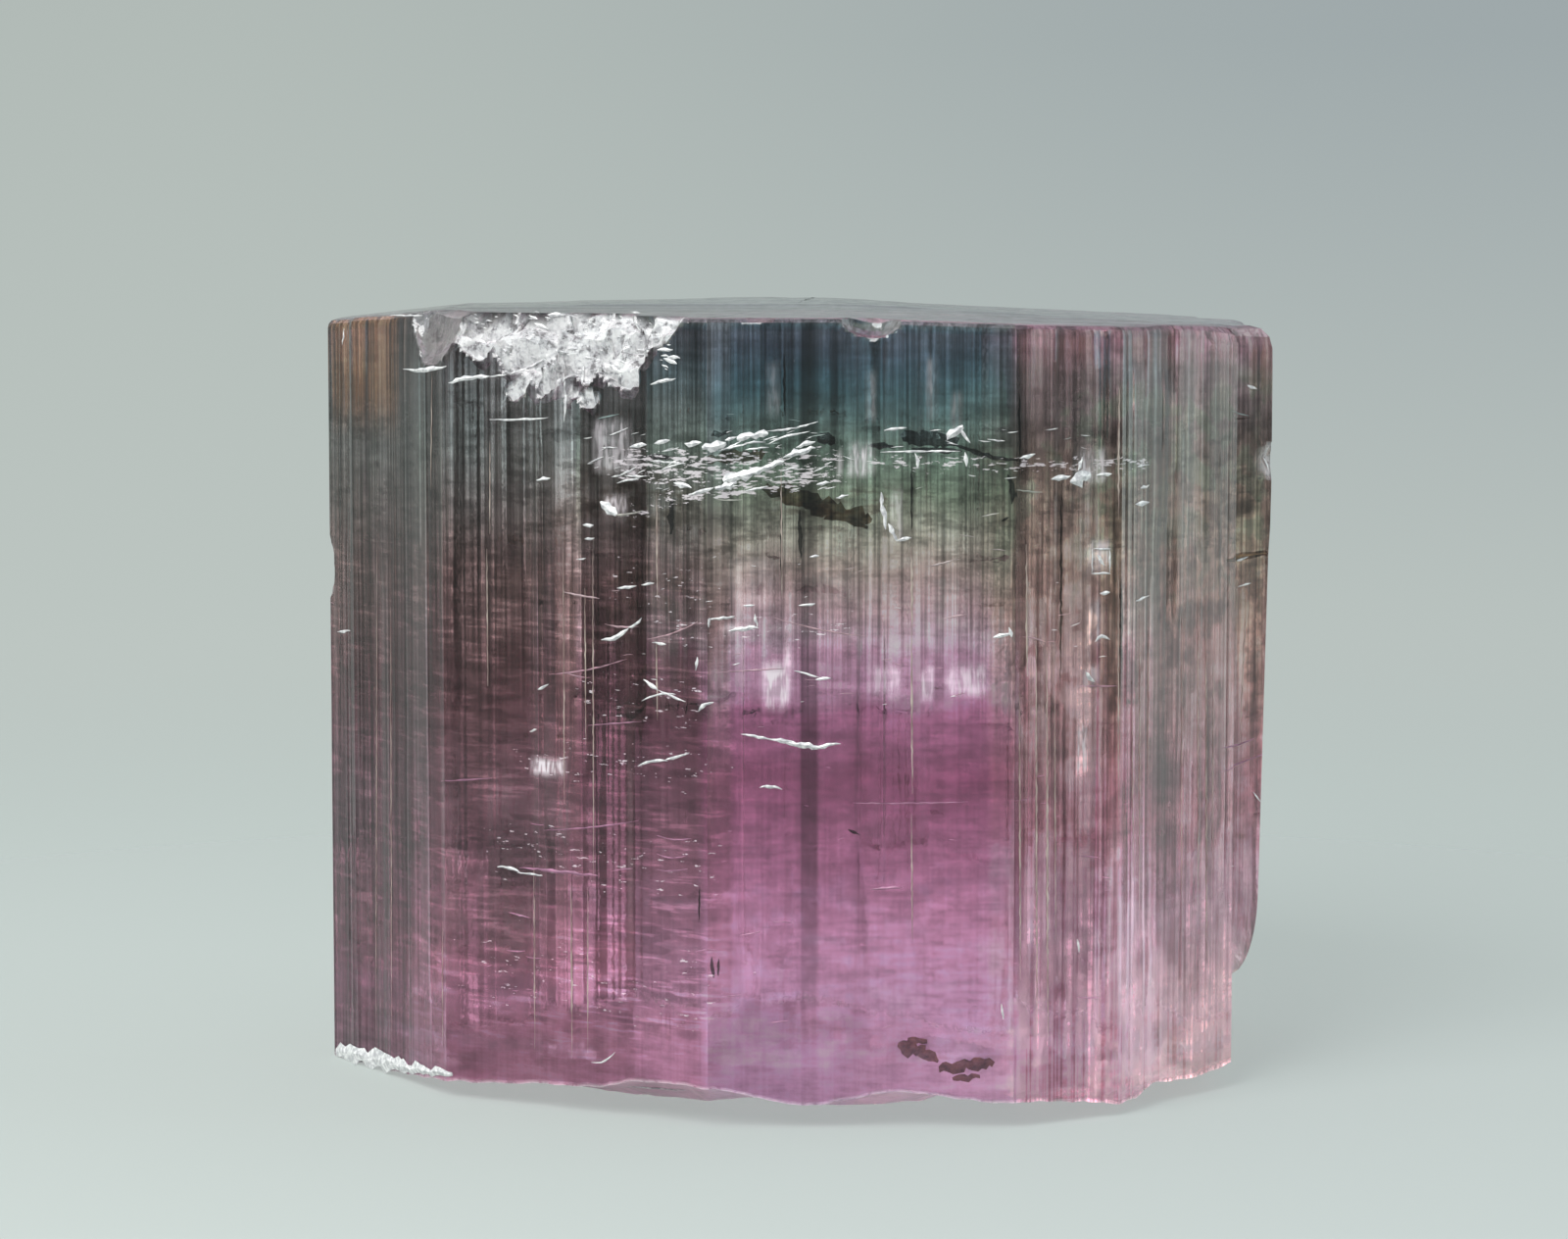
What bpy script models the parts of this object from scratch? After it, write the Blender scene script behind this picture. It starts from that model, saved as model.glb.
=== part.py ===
"""Tourmaline crystal: one stubby three-coloured prism, broken off at its base.

The crystal stands upright on its broken base. Metres, +Z up along the crystal's long (c) axis,
+Y away from the front face. The origin is on the prism's axis, in the plane that the base rests on.

The solid is a stack of rings. Every ring follows the prism's outline: eleven flat faces whose
striae are ridges and grooves that run up the crystal. Rings go from the middle of the broken
base out to its rim, up the sides, over the worn top edge and in across the flat termination.
Chips are scoops, which push the surface that they meet back onto an ellipsoid.
"""

import math
import random
from collections import namedtuple

import bmesh
import bpy
from mathutils import Vector, noise

# Driving dimensions, in metres
HEIGHT = 0.0194
# Each prism face: direction of its outward normal in degrees from +X, distance from the axis,
# and the depth of its striae
PrismFace = namedtuple("PrismFace", "direction distance stria_depth")
PRISM_FACES = (
    PrismFace(270.0, 0.00860, 0.00006),  # front, the clearest face
    PrismFace(300.0, 0.01000, 0.00010),
    PrismFace(318.0, 0.01048, 0.00013),  # right shoulder, rounded by striae
    PrismFace(360.0, 0.01080, 0.00006),  # right, carries the rib
    PrismFace(390.0, 0.01220, 0.00010),
    PrismFace(420.0, 0.01100, 0.00010),
    PrismFace(480.0, 0.01060, 0.00010),
    PrismFace(510.0, 0.01180, 0.00010),
    PrismFace(540.0, 0.01200, 0.00010),
    PrismFace(572.0, 0.00993, 0.00012),  # left shoulder, the most closely striated
    PrismFace(600.0, 0.00853, 0.00009),  # front left
)
STRIA_WIDTH = (0.00045, 0.00095)  # narrowest and widest
STRIA_STEPS = 2  # places up its length where a stria changes depth
STEP_HEIGHTS = (0.06, 0.94)  # lowest and highest of those places, as shares of the height
STEP_CHANGE = 0.45  # largest change, as a share of the stria's depth
STRIA_RAMP = 0.0009  # length over which it changes
STRIA_SEED = 11
CORNER_GROOVE = 0.3  # share of a face's stria depth that its corners can have

# The rib: a slab that grew on the right face. It thins downwards and ends above the base
# in a rounded foot.
RIB_FACE_X = 0.0105  # only the outline right of here carries it
RIB_FRONT_Y = (-0.0035, -0.0029)  # its front step, from the face to full thickness
RIB_BACK_Y = (0.0024, 0.0042)
RIB_TOP_THICKNESS = 0.00093
RIB_FOOT_THICKNESS = 0.00072
RIB_THINS_OVER = (0.0045, 0.0150)  # heights where it has its foot and its top thickness
RIB_FOOT_Z = 0.0027
RIB_FOOT_ROUNDING = 0.0021

# The termination: a flat face that falls slightly to the right and at its left end
RIGHT_FALL = 0.034  # metres down for each metre along +X
RIGHT_FALL_FROM_X = 0.0010
LEFT_FALL = 0.085
LEFT_FALL_FROM_X = -0.0088
EDGE_RADIUS = 0.00022  # wear along the top edge
CORNER_RADIUS = 0.00075  # where the top meets the rib
CORNER_DIRECTION = 356.0
CORNER_HALF_WIDTH = 28.0  # degrees over which the larger radius fades out

# The broken base: height of its rim above the resting plane, by direction from the axis.
# The front of the rim, from 179 to 341 degrees, is the lower outline in the front view.
BASE_RIM = (
    (0.0, 0.00040), (14.0, 0.00075), (27.0, 0.00030), (44.0, 0.00055), (61.0, 0.00015),
    (78.0, 0.00045), (92.0, 0.00085), (108.0, 0.00035), (123.0, 0.00012), (141.0, 0.00050),
    (158.0, 0.00022), (170.0, 0.00005), (179.0, 0.00002), (193.0, 0.00014), (207.6, 0.00037),
    (226.0, 0.00062), (236.0, 0.00070), (241.0, 0.00090), (252.0, 0.00099), (259.0, 0.00090),
    (264.0, 0.00072), (271.0, 0.00053), (277.0, 0.00067), (284.0, 0.00089), (291.0, 0.00080),
    (297.0, 0.00065), (305.0, 0.00058), (311.0, 0.00044), (318.3, 0.00027), (321.5, 0.00032),
    (325.3, 0.00056), (334.4, 0.00045), (338.0, 0.00052), (343.0, 0.00070), (350.0, 0.00052),
    (360.0, 0.00040),
)  # fmt: skip
RIM_FALLS_OVER = 0.34  # share of the way in over which the rim's height is lost
FOOT_RADIUS = 0.0046  # the flat parting plane in the middle, which carries the crystal
BREAK_STARTS_OVER = 0.0016  # distance beyond the foot over which the break reaches its full relief
HACKLE = 0.00050  # the uneven break around it: rounded humps
HACKLE_SIZE = 0.0024
LEDGE = 0.00032  # and flat-topped ledges
LEDGE_SIZE = 0.0047
LEDGE_FACE = (0.02, 0.10)  # noise values between which a ledge's face rises

# Chips: centre, then half sizes along the rim, up the crystal and into it, and the direction
# of the face that it is chipped from
Scoop = namedtuple("Scoop", "x y z along up into direction")
SCOOPS = (
    Scoop(-0.0094, -0.0045, 0.0198, 0.0015, 0.0019, 0.0011, 226.0),  # smooth shell at the left
    Scoop(-0.0080, -0.0056, 0.0201, 0.0013, 0.0019, 0.0013, 238.0),  # the white spall: five shells
    Scoop(-0.0068, -0.0063, 0.0199, 0.0013, 0.0024, 0.0014, 240.0),
    Scoop(-0.0056, -0.0070, 0.0198, 0.0016, 0.0025, 0.0015, 240.0),
    Scoop(-0.0045, -0.0077, 0.0198, 0.0012, 0.0022, 0.0013, 242.0),
    Scoop(-0.0036, -0.0082, 0.0197, 0.0008, 0.0013, 0.0011, 246.0),
    Scoop(-0.0010, -0.0090, 0.0196, 0.0010, 0.0005, 0.0009, 270.0),
    Scoop(0.0017, -0.0089, 0.0196, 0.0009, 0.0009, 0.0010, 270.0),
    Scoop(0.0119, -0.0031, 0.0156, 0.0006, 0.0005, 0.0004, 330.0),  # nicks in the rib's edge
    Scoop(0.0119, -0.0031, 0.0073, 0.0005, 0.0006, 0.0004, 330.0),
    Scoop(-0.0122, 0.0007, 0.0126, 0.0006, 0.0009, 0.0004, 195.0),
    Scoop(-0.0109, -0.0019, 0.0000, 0.0024, 0.0005, 0.0004, 212.0),  # spall along the left foot
    Scoop(-0.0101, 0.0074, 0.0196, 0.0021, 0.0011, 0.0012, 135.0),
    Scoop(0.0068, 0.0092, 0.0199, 0.0016, 0.0010, 0.0011, 60.0),
    Scoop(0.0004, 0.0131, -0.0002, 0.0017, 0.0014, 0.0012, 90.0),
)
SCOOP_CENTRE = 1e-6  # nearer to its centre than this, a scoop has no direction to push in

# Where the rings lie: shares of the way up the side, and of the way out from the middle
SIDE_LEVELS = (
    0.0, 0.010, 0.022, 0.040, 0.065, 0.095, 0.130, 0.165, 0.190, 0.215, 0.250, 0.310, 0.370,
    0.430, 0.490, 0.550, 0.610, 0.670, 0.730, 0.780, 0.810, 0.840, 0.875, 0.905, 0.930, 0.955,
    0.978, 1.0,
)  # fmt: skip
EDGE_ANGLES = (45.0, 90.0)  # steps round the worn top edge, in degrees
TOP_SCALES = (0.94, 0.86, 0.74, 0.50, 0.25)
BASE_SCALES = (0.20, 0.36, 0.44, 0.53, 0.62, 0.71, 0.79, 0.86, 0.92, 0.97)

# The material
DUSKY_PINK = (0.50, 0.25, 0.38, 1.0)
TOURMALINE_IOR = 1.63
POLISH_ROUGHNESS = 0.08
SHARP_ANGLE = math.radians(25.0)

OutlinePoint = namedtuple("OutlinePoint", "x y normal_x normal_y direction groove steps")


def unit(direction):
    """The unit vector, in plan, that points in a direction given in degrees from +X."""
    return Vector((math.cos(math.radians(direction)), math.sin(math.radians(direction))))


def smooth_step(value, start, end):
    """0 before start, 1 after end, and an even S between them."""
    share = min(1.0, max(0.0, (value - start) / (end - start)))
    return share * share * (3.0 - 2.0 * share)


def corner(face, following):
    """Where two prism faces meet, in plan."""
    first = unit(face.direction)
    second = unit(following.direction)
    area = first.x * second.y - first.y * second.x
    return Vector(
        (
            (face.distance * second.y - following.distance * first.y) / area,
            (first.x * following.distance - second.x * face.distance) / area,
        )
    )


def outline_point(place, normal, depth, dice):
    """One vertical line of the prism: how deep its groove is, and the heights where that changes."""
    heights = sorted(dice.uniform(*STEP_HEIGHTS) * HEIGHT for _ in range(STRIA_STEPS))
    steps = tuple((z, dice.uniform(-STEP_CHANGE, STEP_CHANGE) * depth) for z in heights)
    direction = math.degrees(math.atan2(place.y, place.x)) % 360.0
    return OutlinePoint(place.x, place.y, normal.x, normal.y, direction, dice.random() * depth, steps)


def stria_lines(start, end, dice):
    """Distances along a face, from its start, of the lines where one stria meets the next."""
    length = (end - start).length
    kept = [y - start.y for y in RIB_FRONT_Y + RIB_BACK_Y if start.x > RIB_FACE_X and end.x > RIB_FACE_X]
    lines = list(kept)
    travelled = dice.uniform(*STRIA_WIDTH)
    while travelled < length - STRIA_WIDTH[0]:
        if all(abs(travelled - line) > STRIA_WIDTH[0] for line in kept):
            lines.append(travelled)
        travelled += dice.uniform(*STRIA_WIDTH)
    return sorted(lines)


def prism_outline():
    """The prism's plan: its corners, and between them the lines where one stria meets the next."""
    dice = random.Random(STRIA_SEED)
    points = []
    for index, face in enumerate(PRISM_FACES):
        before = PRISM_FACES[index - 1]
        after = PRISM_FACES[(index + 1) % len(PRISM_FACES)]
        start = corner(before, face)
        end = corner(face, after)
        normal = unit(face.direction)
        at_corner = (unit(before.direction) + normal).normalized()
        points.append(outline_point(start, at_corner, face.stria_depth * CORNER_GROOVE, dice))
        for line in stria_lines(start, end, dice):
            place = start + (end - start).normalized() * line
            points.append(outline_point(place, normal, face.stria_depth, dice))
    return points


def rib_height(point, z):
    """How far the rib stands out from the right face."""
    if point.x < RIB_FACE_X:
        return 0.0
    across = smooth_step(point.y, *RIB_FRONT_Y) * (1.0 - smooth_step(point.y, *RIB_BACK_Y))
    foot_z, top_z = RIB_THINS_OVER
    share = min(1.0, max(0.0, (z - foot_z) / (top_z - foot_z)))
    thickness = RIB_FOOT_THICKNESS + (RIB_TOP_THICKNESS - RIB_FOOT_THICKNESS) * share
    short_of_full = min(1.0, max(0.0, 1.0 - (z - RIB_FOOT_Z) / RIB_FOOT_ROUNDING))
    return thickness * across * math.sqrt(1.0 - short_of_full**2)


def side_place(point, z):
    """A point on the side at height z, with its stria and the rib."""
    depth = point.groove
    for step_z, change in point.steps:
        depth += change * smooth_step(z, step_z, step_z + STRIA_RAMP)
    out = rib_height(point, z) - depth
    return Vector((point.x + point.normal_x * out, point.y + point.normal_y * out, z))


def rim_height(direction):
    """Height of the base's rim in that direction, read from BASE_RIM."""
    for (start, low), (end, high) in zip(BASE_RIM, BASE_RIM[1:]):
        if start <= direction <= end:
            return low + (high - low) * (direction - start) / (end - start)
    return BASE_RIM[0][1]


def top_height(x):
    """Height of the termination above the resting plane."""
    right_fall = RIGHT_FALL * max(0.0, x - RIGHT_FALL_FROM_X)
    left_fall = LEFT_FALL * max(0.0, LEFT_FALL_FROM_X - x)
    return HEIGHT - right_fall - left_fall


def edge_radius(direction):
    """Radius of the worn top edge, larger where the top meets the rib."""
    away = abs((direction - CORNER_DIRECTION + 180.0) % 360.0 - 180.0)
    share = 1.0 - smooth_step(away, 0.0, CORNER_HALF_WIDTH)
    return EDGE_RADIUS + (CORNER_RADIUS - EDGE_RADIUS) * share


def break_relief(x, y):
    """Height of the uneven break round the base's flat foot."""
    humps = HACKLE * max(0.0, noise.noise(Vector((x, y, 0.0)) / HACKLE_SIZE))
    ledges = LEDGE * smooth_step(noise.noise(Vector((x, y, LEDGE_SIZE)) / LEDGE_SIZE), *LEDGE_FACE)
    return (humps + ledges) * smooth_step(math.hypot(x, y), FOOT_RADIUS, FOOT_RADIUS + BREAK_STARTS_OVER)


def base_place(edge, scale):
    """A point of the base, a share of the way out from its middle to a point of its rim."""
    x = edge.x * scale
    y = edge.y * scale
    near_rim = smooth_step(scale, 1.0 - RIM_FALLS_OVER, 1.0)
    return Vector((x, y, edge.z * near_rim + break_relief(x, y) * (1.0 - near_rim)))


def chipped(place):
    """The place after every scoop that reaches it has pushed it back."""
    for scoop in SCOOPS:
        centre = Vector((scoop.x, scoop.y, scoop.z))
        inward = -unit(scoop.direction)
        away = place - centre
        local = Vector(
            (
                (away.y * inward.x - away.x * inward.y) / scoop.along,
                away.z / scoop.up,
                (away.x * inward.x + away.y * inward.y) / scoop.into,
            )
        )
        if SCOOP_CENTRE < local.length < 1.0:
            place = centre + away / local.length
    return place


def edge_rings(points, shoulder):
    """The rings that carry the surface round the worn top edge from the last side ring."""
    rings = []
    for angle in EDGE_ANGLES:
        inset = 1.0 - math.cos(math.radians(angle))
        rise = math.sin(math.radians(angle))
        ring = []
        for point, place in zip(points, shoulder):
            radius = edge_radius(point.direction)
            inward = Vector((point.normal_x, point.normal_y, 0.0)) * -radius * inset
            ring.append(place + inward + Vector((0.0, 0.0, radius * rise)))
        rings.append(ring)
    return rings


def surface_rings(points):
    """Every ring of the crystal, from round the middle of the base to round the middle of the top."""
    rim = [side_place(point, rim_height(point.direction)) for point in points]
    rings = [[base_place(edge, scale) for edge in rim] for scale in BASE_SCALES]
    for level in SIDE_LEVELS:
        ring = []
        for point in points:
            low = rim_height(point.direction)
            high = top_height(point.x) - edge_radius(point.direction)
            ring.append(side_place(point, low + (high - low) * level))
        rings.append(ring)
    rings.extend(edge_rings(points, rings[-1]))
    top_edge = rings[-1]
    for scale in TOP_SCALES:
        rings.append([Vector((p.x * scale, p.y * scale, top_height(p.x * scale))) for p in top_edge])
    return rings


def crystal_mesh():
    """The crystal's closed surface, one loop of faces between each ring and the next."""
    points = prism_outline()
    mesh = bmesh.new()
    rings = [[mesh.verts.new(chipped(place)) for place in ring] for ring in surface_rings(points)]
    count = len(points)
    for lower, upper in zip(rings, rings[1:]):
        for i in range(count):
            j = (i + 1) % count
            mesh.faces.new((lower[i], lower[j], upper[j], upper[i]))
    base_middle = mesh.verts.new((0.0, 0.0, 0.0))
    top_middle = mesh.verts.new((0.0, 0.0, HEIGHT))
    for i in range(count):
        j = (i + 1) % count
        mesh.faces.new((base_middle, rings[0][j], rings[0][i]))
        mesh.faces.new((top_middle, rings[-1][i], rings[-1][j]))
    bmesh.ops.recalc_face_normals(mesh, faces=mesh.faces)
    data = bpy.data.meshes.new("crystal")
    mesh.to_mesh(data)
    mesh.free()
    return data


def crystal_material():
    """Clear dusky pink, the colour of most of the crystal."""
    material = bpy.data.materials.new("tourmaline")
    material.use_nodes = True
    shader = material.node_tree.nodes["Principled BSDF"]
    shader.inputs["Base Color"].default_value = DUSKY_PINK
    shader.inputs["Metallic"].default_value = 0.0
    shader.inputs["Roughness"].default_value = POLISH_ROUGHNESS
    shader.inputs["IOR"].default_value = TOURMALINE_IOR
    shader.inputs["Transmission Weight"].default_value = 1.0
    return material


def main():
    for leftover in list(bpy.data.objects):
        bpy.data.objects.remove(leftover)
    data = crystal_mesh()
    data.materials.append(crystal_material())
    data.shade_smooth()
    data.set_sharp_from_angle(angle=SHARP_ANGLE)
    bpy.context.scene.collection.objects.link(bpy.data.objects.new("crystal", data))


main()
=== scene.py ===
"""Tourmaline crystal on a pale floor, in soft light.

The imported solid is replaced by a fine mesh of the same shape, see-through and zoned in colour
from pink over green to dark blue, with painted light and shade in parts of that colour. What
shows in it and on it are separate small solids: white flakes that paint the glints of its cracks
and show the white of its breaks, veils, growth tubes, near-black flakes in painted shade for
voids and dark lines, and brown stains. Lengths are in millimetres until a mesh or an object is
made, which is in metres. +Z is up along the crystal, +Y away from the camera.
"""

import math
import random
from collections import namedtuple

import bpy
import numpy as np
from mathutils import Matrix, Vector, noise
from mathutils.bvhtree import BVHTree


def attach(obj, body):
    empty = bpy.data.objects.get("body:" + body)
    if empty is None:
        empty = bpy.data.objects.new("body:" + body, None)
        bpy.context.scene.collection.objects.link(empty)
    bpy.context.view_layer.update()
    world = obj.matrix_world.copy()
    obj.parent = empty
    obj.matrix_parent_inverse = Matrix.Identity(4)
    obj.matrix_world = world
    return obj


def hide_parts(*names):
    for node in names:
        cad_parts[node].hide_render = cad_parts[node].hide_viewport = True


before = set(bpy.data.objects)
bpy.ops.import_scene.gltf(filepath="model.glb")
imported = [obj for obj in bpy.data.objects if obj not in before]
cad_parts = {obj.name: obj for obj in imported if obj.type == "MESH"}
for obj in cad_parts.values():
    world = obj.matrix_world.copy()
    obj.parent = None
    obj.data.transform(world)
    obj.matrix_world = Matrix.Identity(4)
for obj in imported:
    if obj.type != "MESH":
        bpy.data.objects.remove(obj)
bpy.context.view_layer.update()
MM = 0.001

# The prism, as in the solid: direction of each face's outward normal in degrees from +X,
# distance from the axis, depth of its broad striae, and depth and width of its fine ones
PrismFace = namedtuple("PrismFace", "direction distance broad fine fine_width")
PRISM_FACES = (
    PrismFace(270.0, 8.60, 0.06, 0.005, 0.085),
    PrismFace(300.0, 10.00, 0.10, 0.009, 0.085),
    PrismFace(318.0, 10.48, 0.13, 0.016, 0.085),
    PrismFace(360.0, 10.80, 0.06, 0.010, 0.130),
    PrismFace(390.0, 12.20, 0.10, 0.012, 0.130),
    PrismFace(420.0, 11.00, 0.10, 0.012, 0.130),
    PrismFace(480.0, 10.60, 0.10, 0.012, 0.130),
    PrismFace(510.0, 11.80, 0.10, 0.012, 0.130),
    PrismFace(540.0, 12.00, 0.10, 0.012, 0.130),
    PrismFace(572.0, 9.93, 0.12, 0.018, 0.085),
    PrismFace(600.0, 8.53, 0.09, 0.008, 0.085),
)
HEIGHT = 19.4
STRIA_WIDTH = (0.45, 0.95)
STRIA_STEPS = 2
STEP_HEIGHTS = (0.06, 0.94)
STEP_CHANGE = 0.45
STRIA_RAMP = 0.9
STRIA_SEED = 11
CORNER_GROOVE = 0.3
FINE_RAMP = 0.25
FINE_WANDER = 0.35  # how far a fine groove strays from its even place, as a share of its width
FINE_CHANGE = 0.6  # how much its depth changes part way up, as a share of its depth
FINE_CHANGE_Z = (1.0, 18.5)
FINE_SEED = 23

# The rib on the right face
RIB_FACE_X = 10.5
RIB_FRONT_Y = (-3.5, -2.9)
RIB_BACK_Y = (2.4, 4.2)
RIB_TOP_THICKNESS = 0.93
RIB_FOOT_THICKNESS = 0.72
RIB_THINS_OVER = (4.5, 15.0)
RIB_FOOT_Z = 2.7
RIB_FOOT_ROUNDING = 2.1

# The termination
RIGHT_FALL = 0.034
RIGHT_FALL_FROM_X = 1.0
LEFT_FALL = 0.085
LEFT_FALL_FROM_X = -8.8
EDGE_RADIUS = 0.22
CORNER_RADIUS = 0.75
CORNER_DIRECTION = 356.0
CORNER_HALF_WIDTH = 28.0
LEDGE_RISE = 0.035  # growth ledges on the top: each a three-sided step
LEDGE_SIZES = (2.2, 3.9, 5.3, 7.4)
LEDGE_CENTRE = (-1.2, 1.6)
LEDGE_SLOPE = 0.60
LEDGE_DIRECTIONS = (270.0, 30.0, 150.0)

# The broken base: height of its rim by direction from the axis
BASE_RIM = (
    (0.0, 0.40), (14.0, 0.75), (27.0, 0.30), (44.0, 0.55), (61.0, 0.15), (78.0, 0.45),
    (92.0, 0.85), (108.0, 0.35), (123.0, 0.12), (141.0, 0.50), (158.0, 0.22), (170.0, 0.05),
    (179.0, 0.02), (193.0, 0.14), (207.6, 0.37), (226.0, 0.62), (236.0, 0.70), (241.0, 0.90),
    (252.0, 0.99), (259.0, 0.90), (264.0, 0.72), (271.0, 0.53), (277.0, 0.67), (284.0, 0.89),
    (291.0, 0.80), (297.0, 0.65), (305.0, 0.58), (311.0, 0.44), (318.3, 0.27), (321.5, 0.32),
    (325.3, 0.56), (334.4, 0.45), (338.0, 0.52), (343.0, 0.70), (350.0, 0.52), (360.0, 0.40),
)  # fmt: skip
RIM_JAG = 0.05
RIM_JAG_SIZE = 0.45
RIM_FALLS_OVER = 0.34
FOOT_RADIUS = 4.6
BREAK_STARTS_OVER = 1.6
HACKLE = 0.50
HACKLE_SIZE = 2.4
LEDGE = 0.32
LEDGE_SIZE = 4.7
LEDGE_FACE = (0.02, 0.10)
CRUMB = 0.10
CRUMB_SIZE = 0.6
RIM_WHITE = 0.7  # the rim is bruised white

# Chips: centre, half sizes along the rim, up and into the crystal, direction of the chipped
# face, roughness of the break, and how white it is
Scoop = namedtuple("Scoop", "x y z along up into direction rough white")
SCOOPS = (
    Scoop(-9.4, -4.5, 19.8, 1.5, 1.9, 1.1, 226.0, 0.03, 0.35),
    Scoop(-8.0, -5.6, 20.1, 1.3, 1.9, 1.3, 238.0, 0.13, 1.0),
    Scoop(-6.8, -6.3, 19.9, 1.3, 2.4, 1.4, 240.0, 0.14, 1.0),
    Scoop(-5.6, -7.0, 19.8, 1.6, 2.5, 1.5, 240.0, 0.15, 1.0),
    Scoop(-4.5, -7.7, 19.8, 1.2, 2.2, 1.3, 242.0, 0.14, 1.0),
    Scoop(-3.6, -8.2, 19.7, 0.8, 1.3, 1.1, 246.0, 0.12, 0.9),
    Scoop(-1.0, -9.0, 19.6, 1.0, 0.5, 0.9, 270.0, 0.03, 0.1),
    Scoop(1.7, -8.9, 19.6, 0.9, 0.9, 1.0, 270.0, 0.03, 0.1),
    Scoop(11.9, -3.1, 15.6, 0.6, 0.5, 0.4, 330.0, 0.04, 0.6),
    Scoop(11.9, -3.1, 7.3, 0.5, 0.6, 0.4, 330.0, 0.04, 0.6),
    Scoop(-12.2, 0.7, 12.6, 0.6, 0.9, 0.4, 195.0, 0.04, 0.5),
    Scoop(-10.9, -1.9, 0.0, 2.4, 0.5, 0.4, 212.0, 0.08, 1.0),
    Scoop(-10.1, 7.4, 19.6, 2.1, 1.1, 1.2, 135.0, 0.06, 0.4),
    Scoop(6.8, 9.2, 19.9, 1.6, 1.0, 1.1, 60.0, 0.08, 0.7),
    Scoop(0.4, 13.1, -0.2, 1.7, 1.4, 1.2, 90.0, 0.10, 0.7),
)
SCOOP_CENTRE = 1e-3
SCOOP_NEAR = 1.4  # shares of a scoop's half sizes within which its ragged outline can lie
BREAK_BUILDS_OVER = 0.15
BREAK_SET_BACK = 0.5
RAGGED = 2.0  # how far a rough break's outline strays, for each millimetre of roughness
RAGGED_SIZE = 0.5
BREAK_GRAIN = (0.75, 0.28)
BREAK_LAYERS = (0.7, 0.7, 1.9)  # the grain is flatter up the crystal than across it

# Rings of the fine mesh: shares of the way up the side, and of the way out from the middle
SIDE_LEVELS = np.concatenate(
    (np.linspace(0.0, 0.06, 11), np.linspace(0.06, 0.87, 76)[1:], np.linspace(0.87, 1.0, 24)[1:])
)
EDGE_ANGLES = (30.0, 60.0, 90.0)
TOP_SCALES = tuple(np.linspace(0.985, 0.06, 16))
BASE_SCALES = tuple(np.linspace(0.06, 0.985, 16))
SHARP_ANGLE = math.radians(16.0)

# The camera
CAMERA_PLACE = (-0.35, -112.0, 21.95)
CAMERA_PITCH = 5.4
LENS = 101.25
SENSOR = 36.0
PICTURE_WIDTH = 1600.0
PICTURE_MIDDLE = (800.0, 632.0)
FOCAL = LENS / SENSOR * PICTURE_WIDTH
PIXEL = 0.023  # what one pixel spans on the front face, in millimetres
IOR = 1.62

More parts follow.
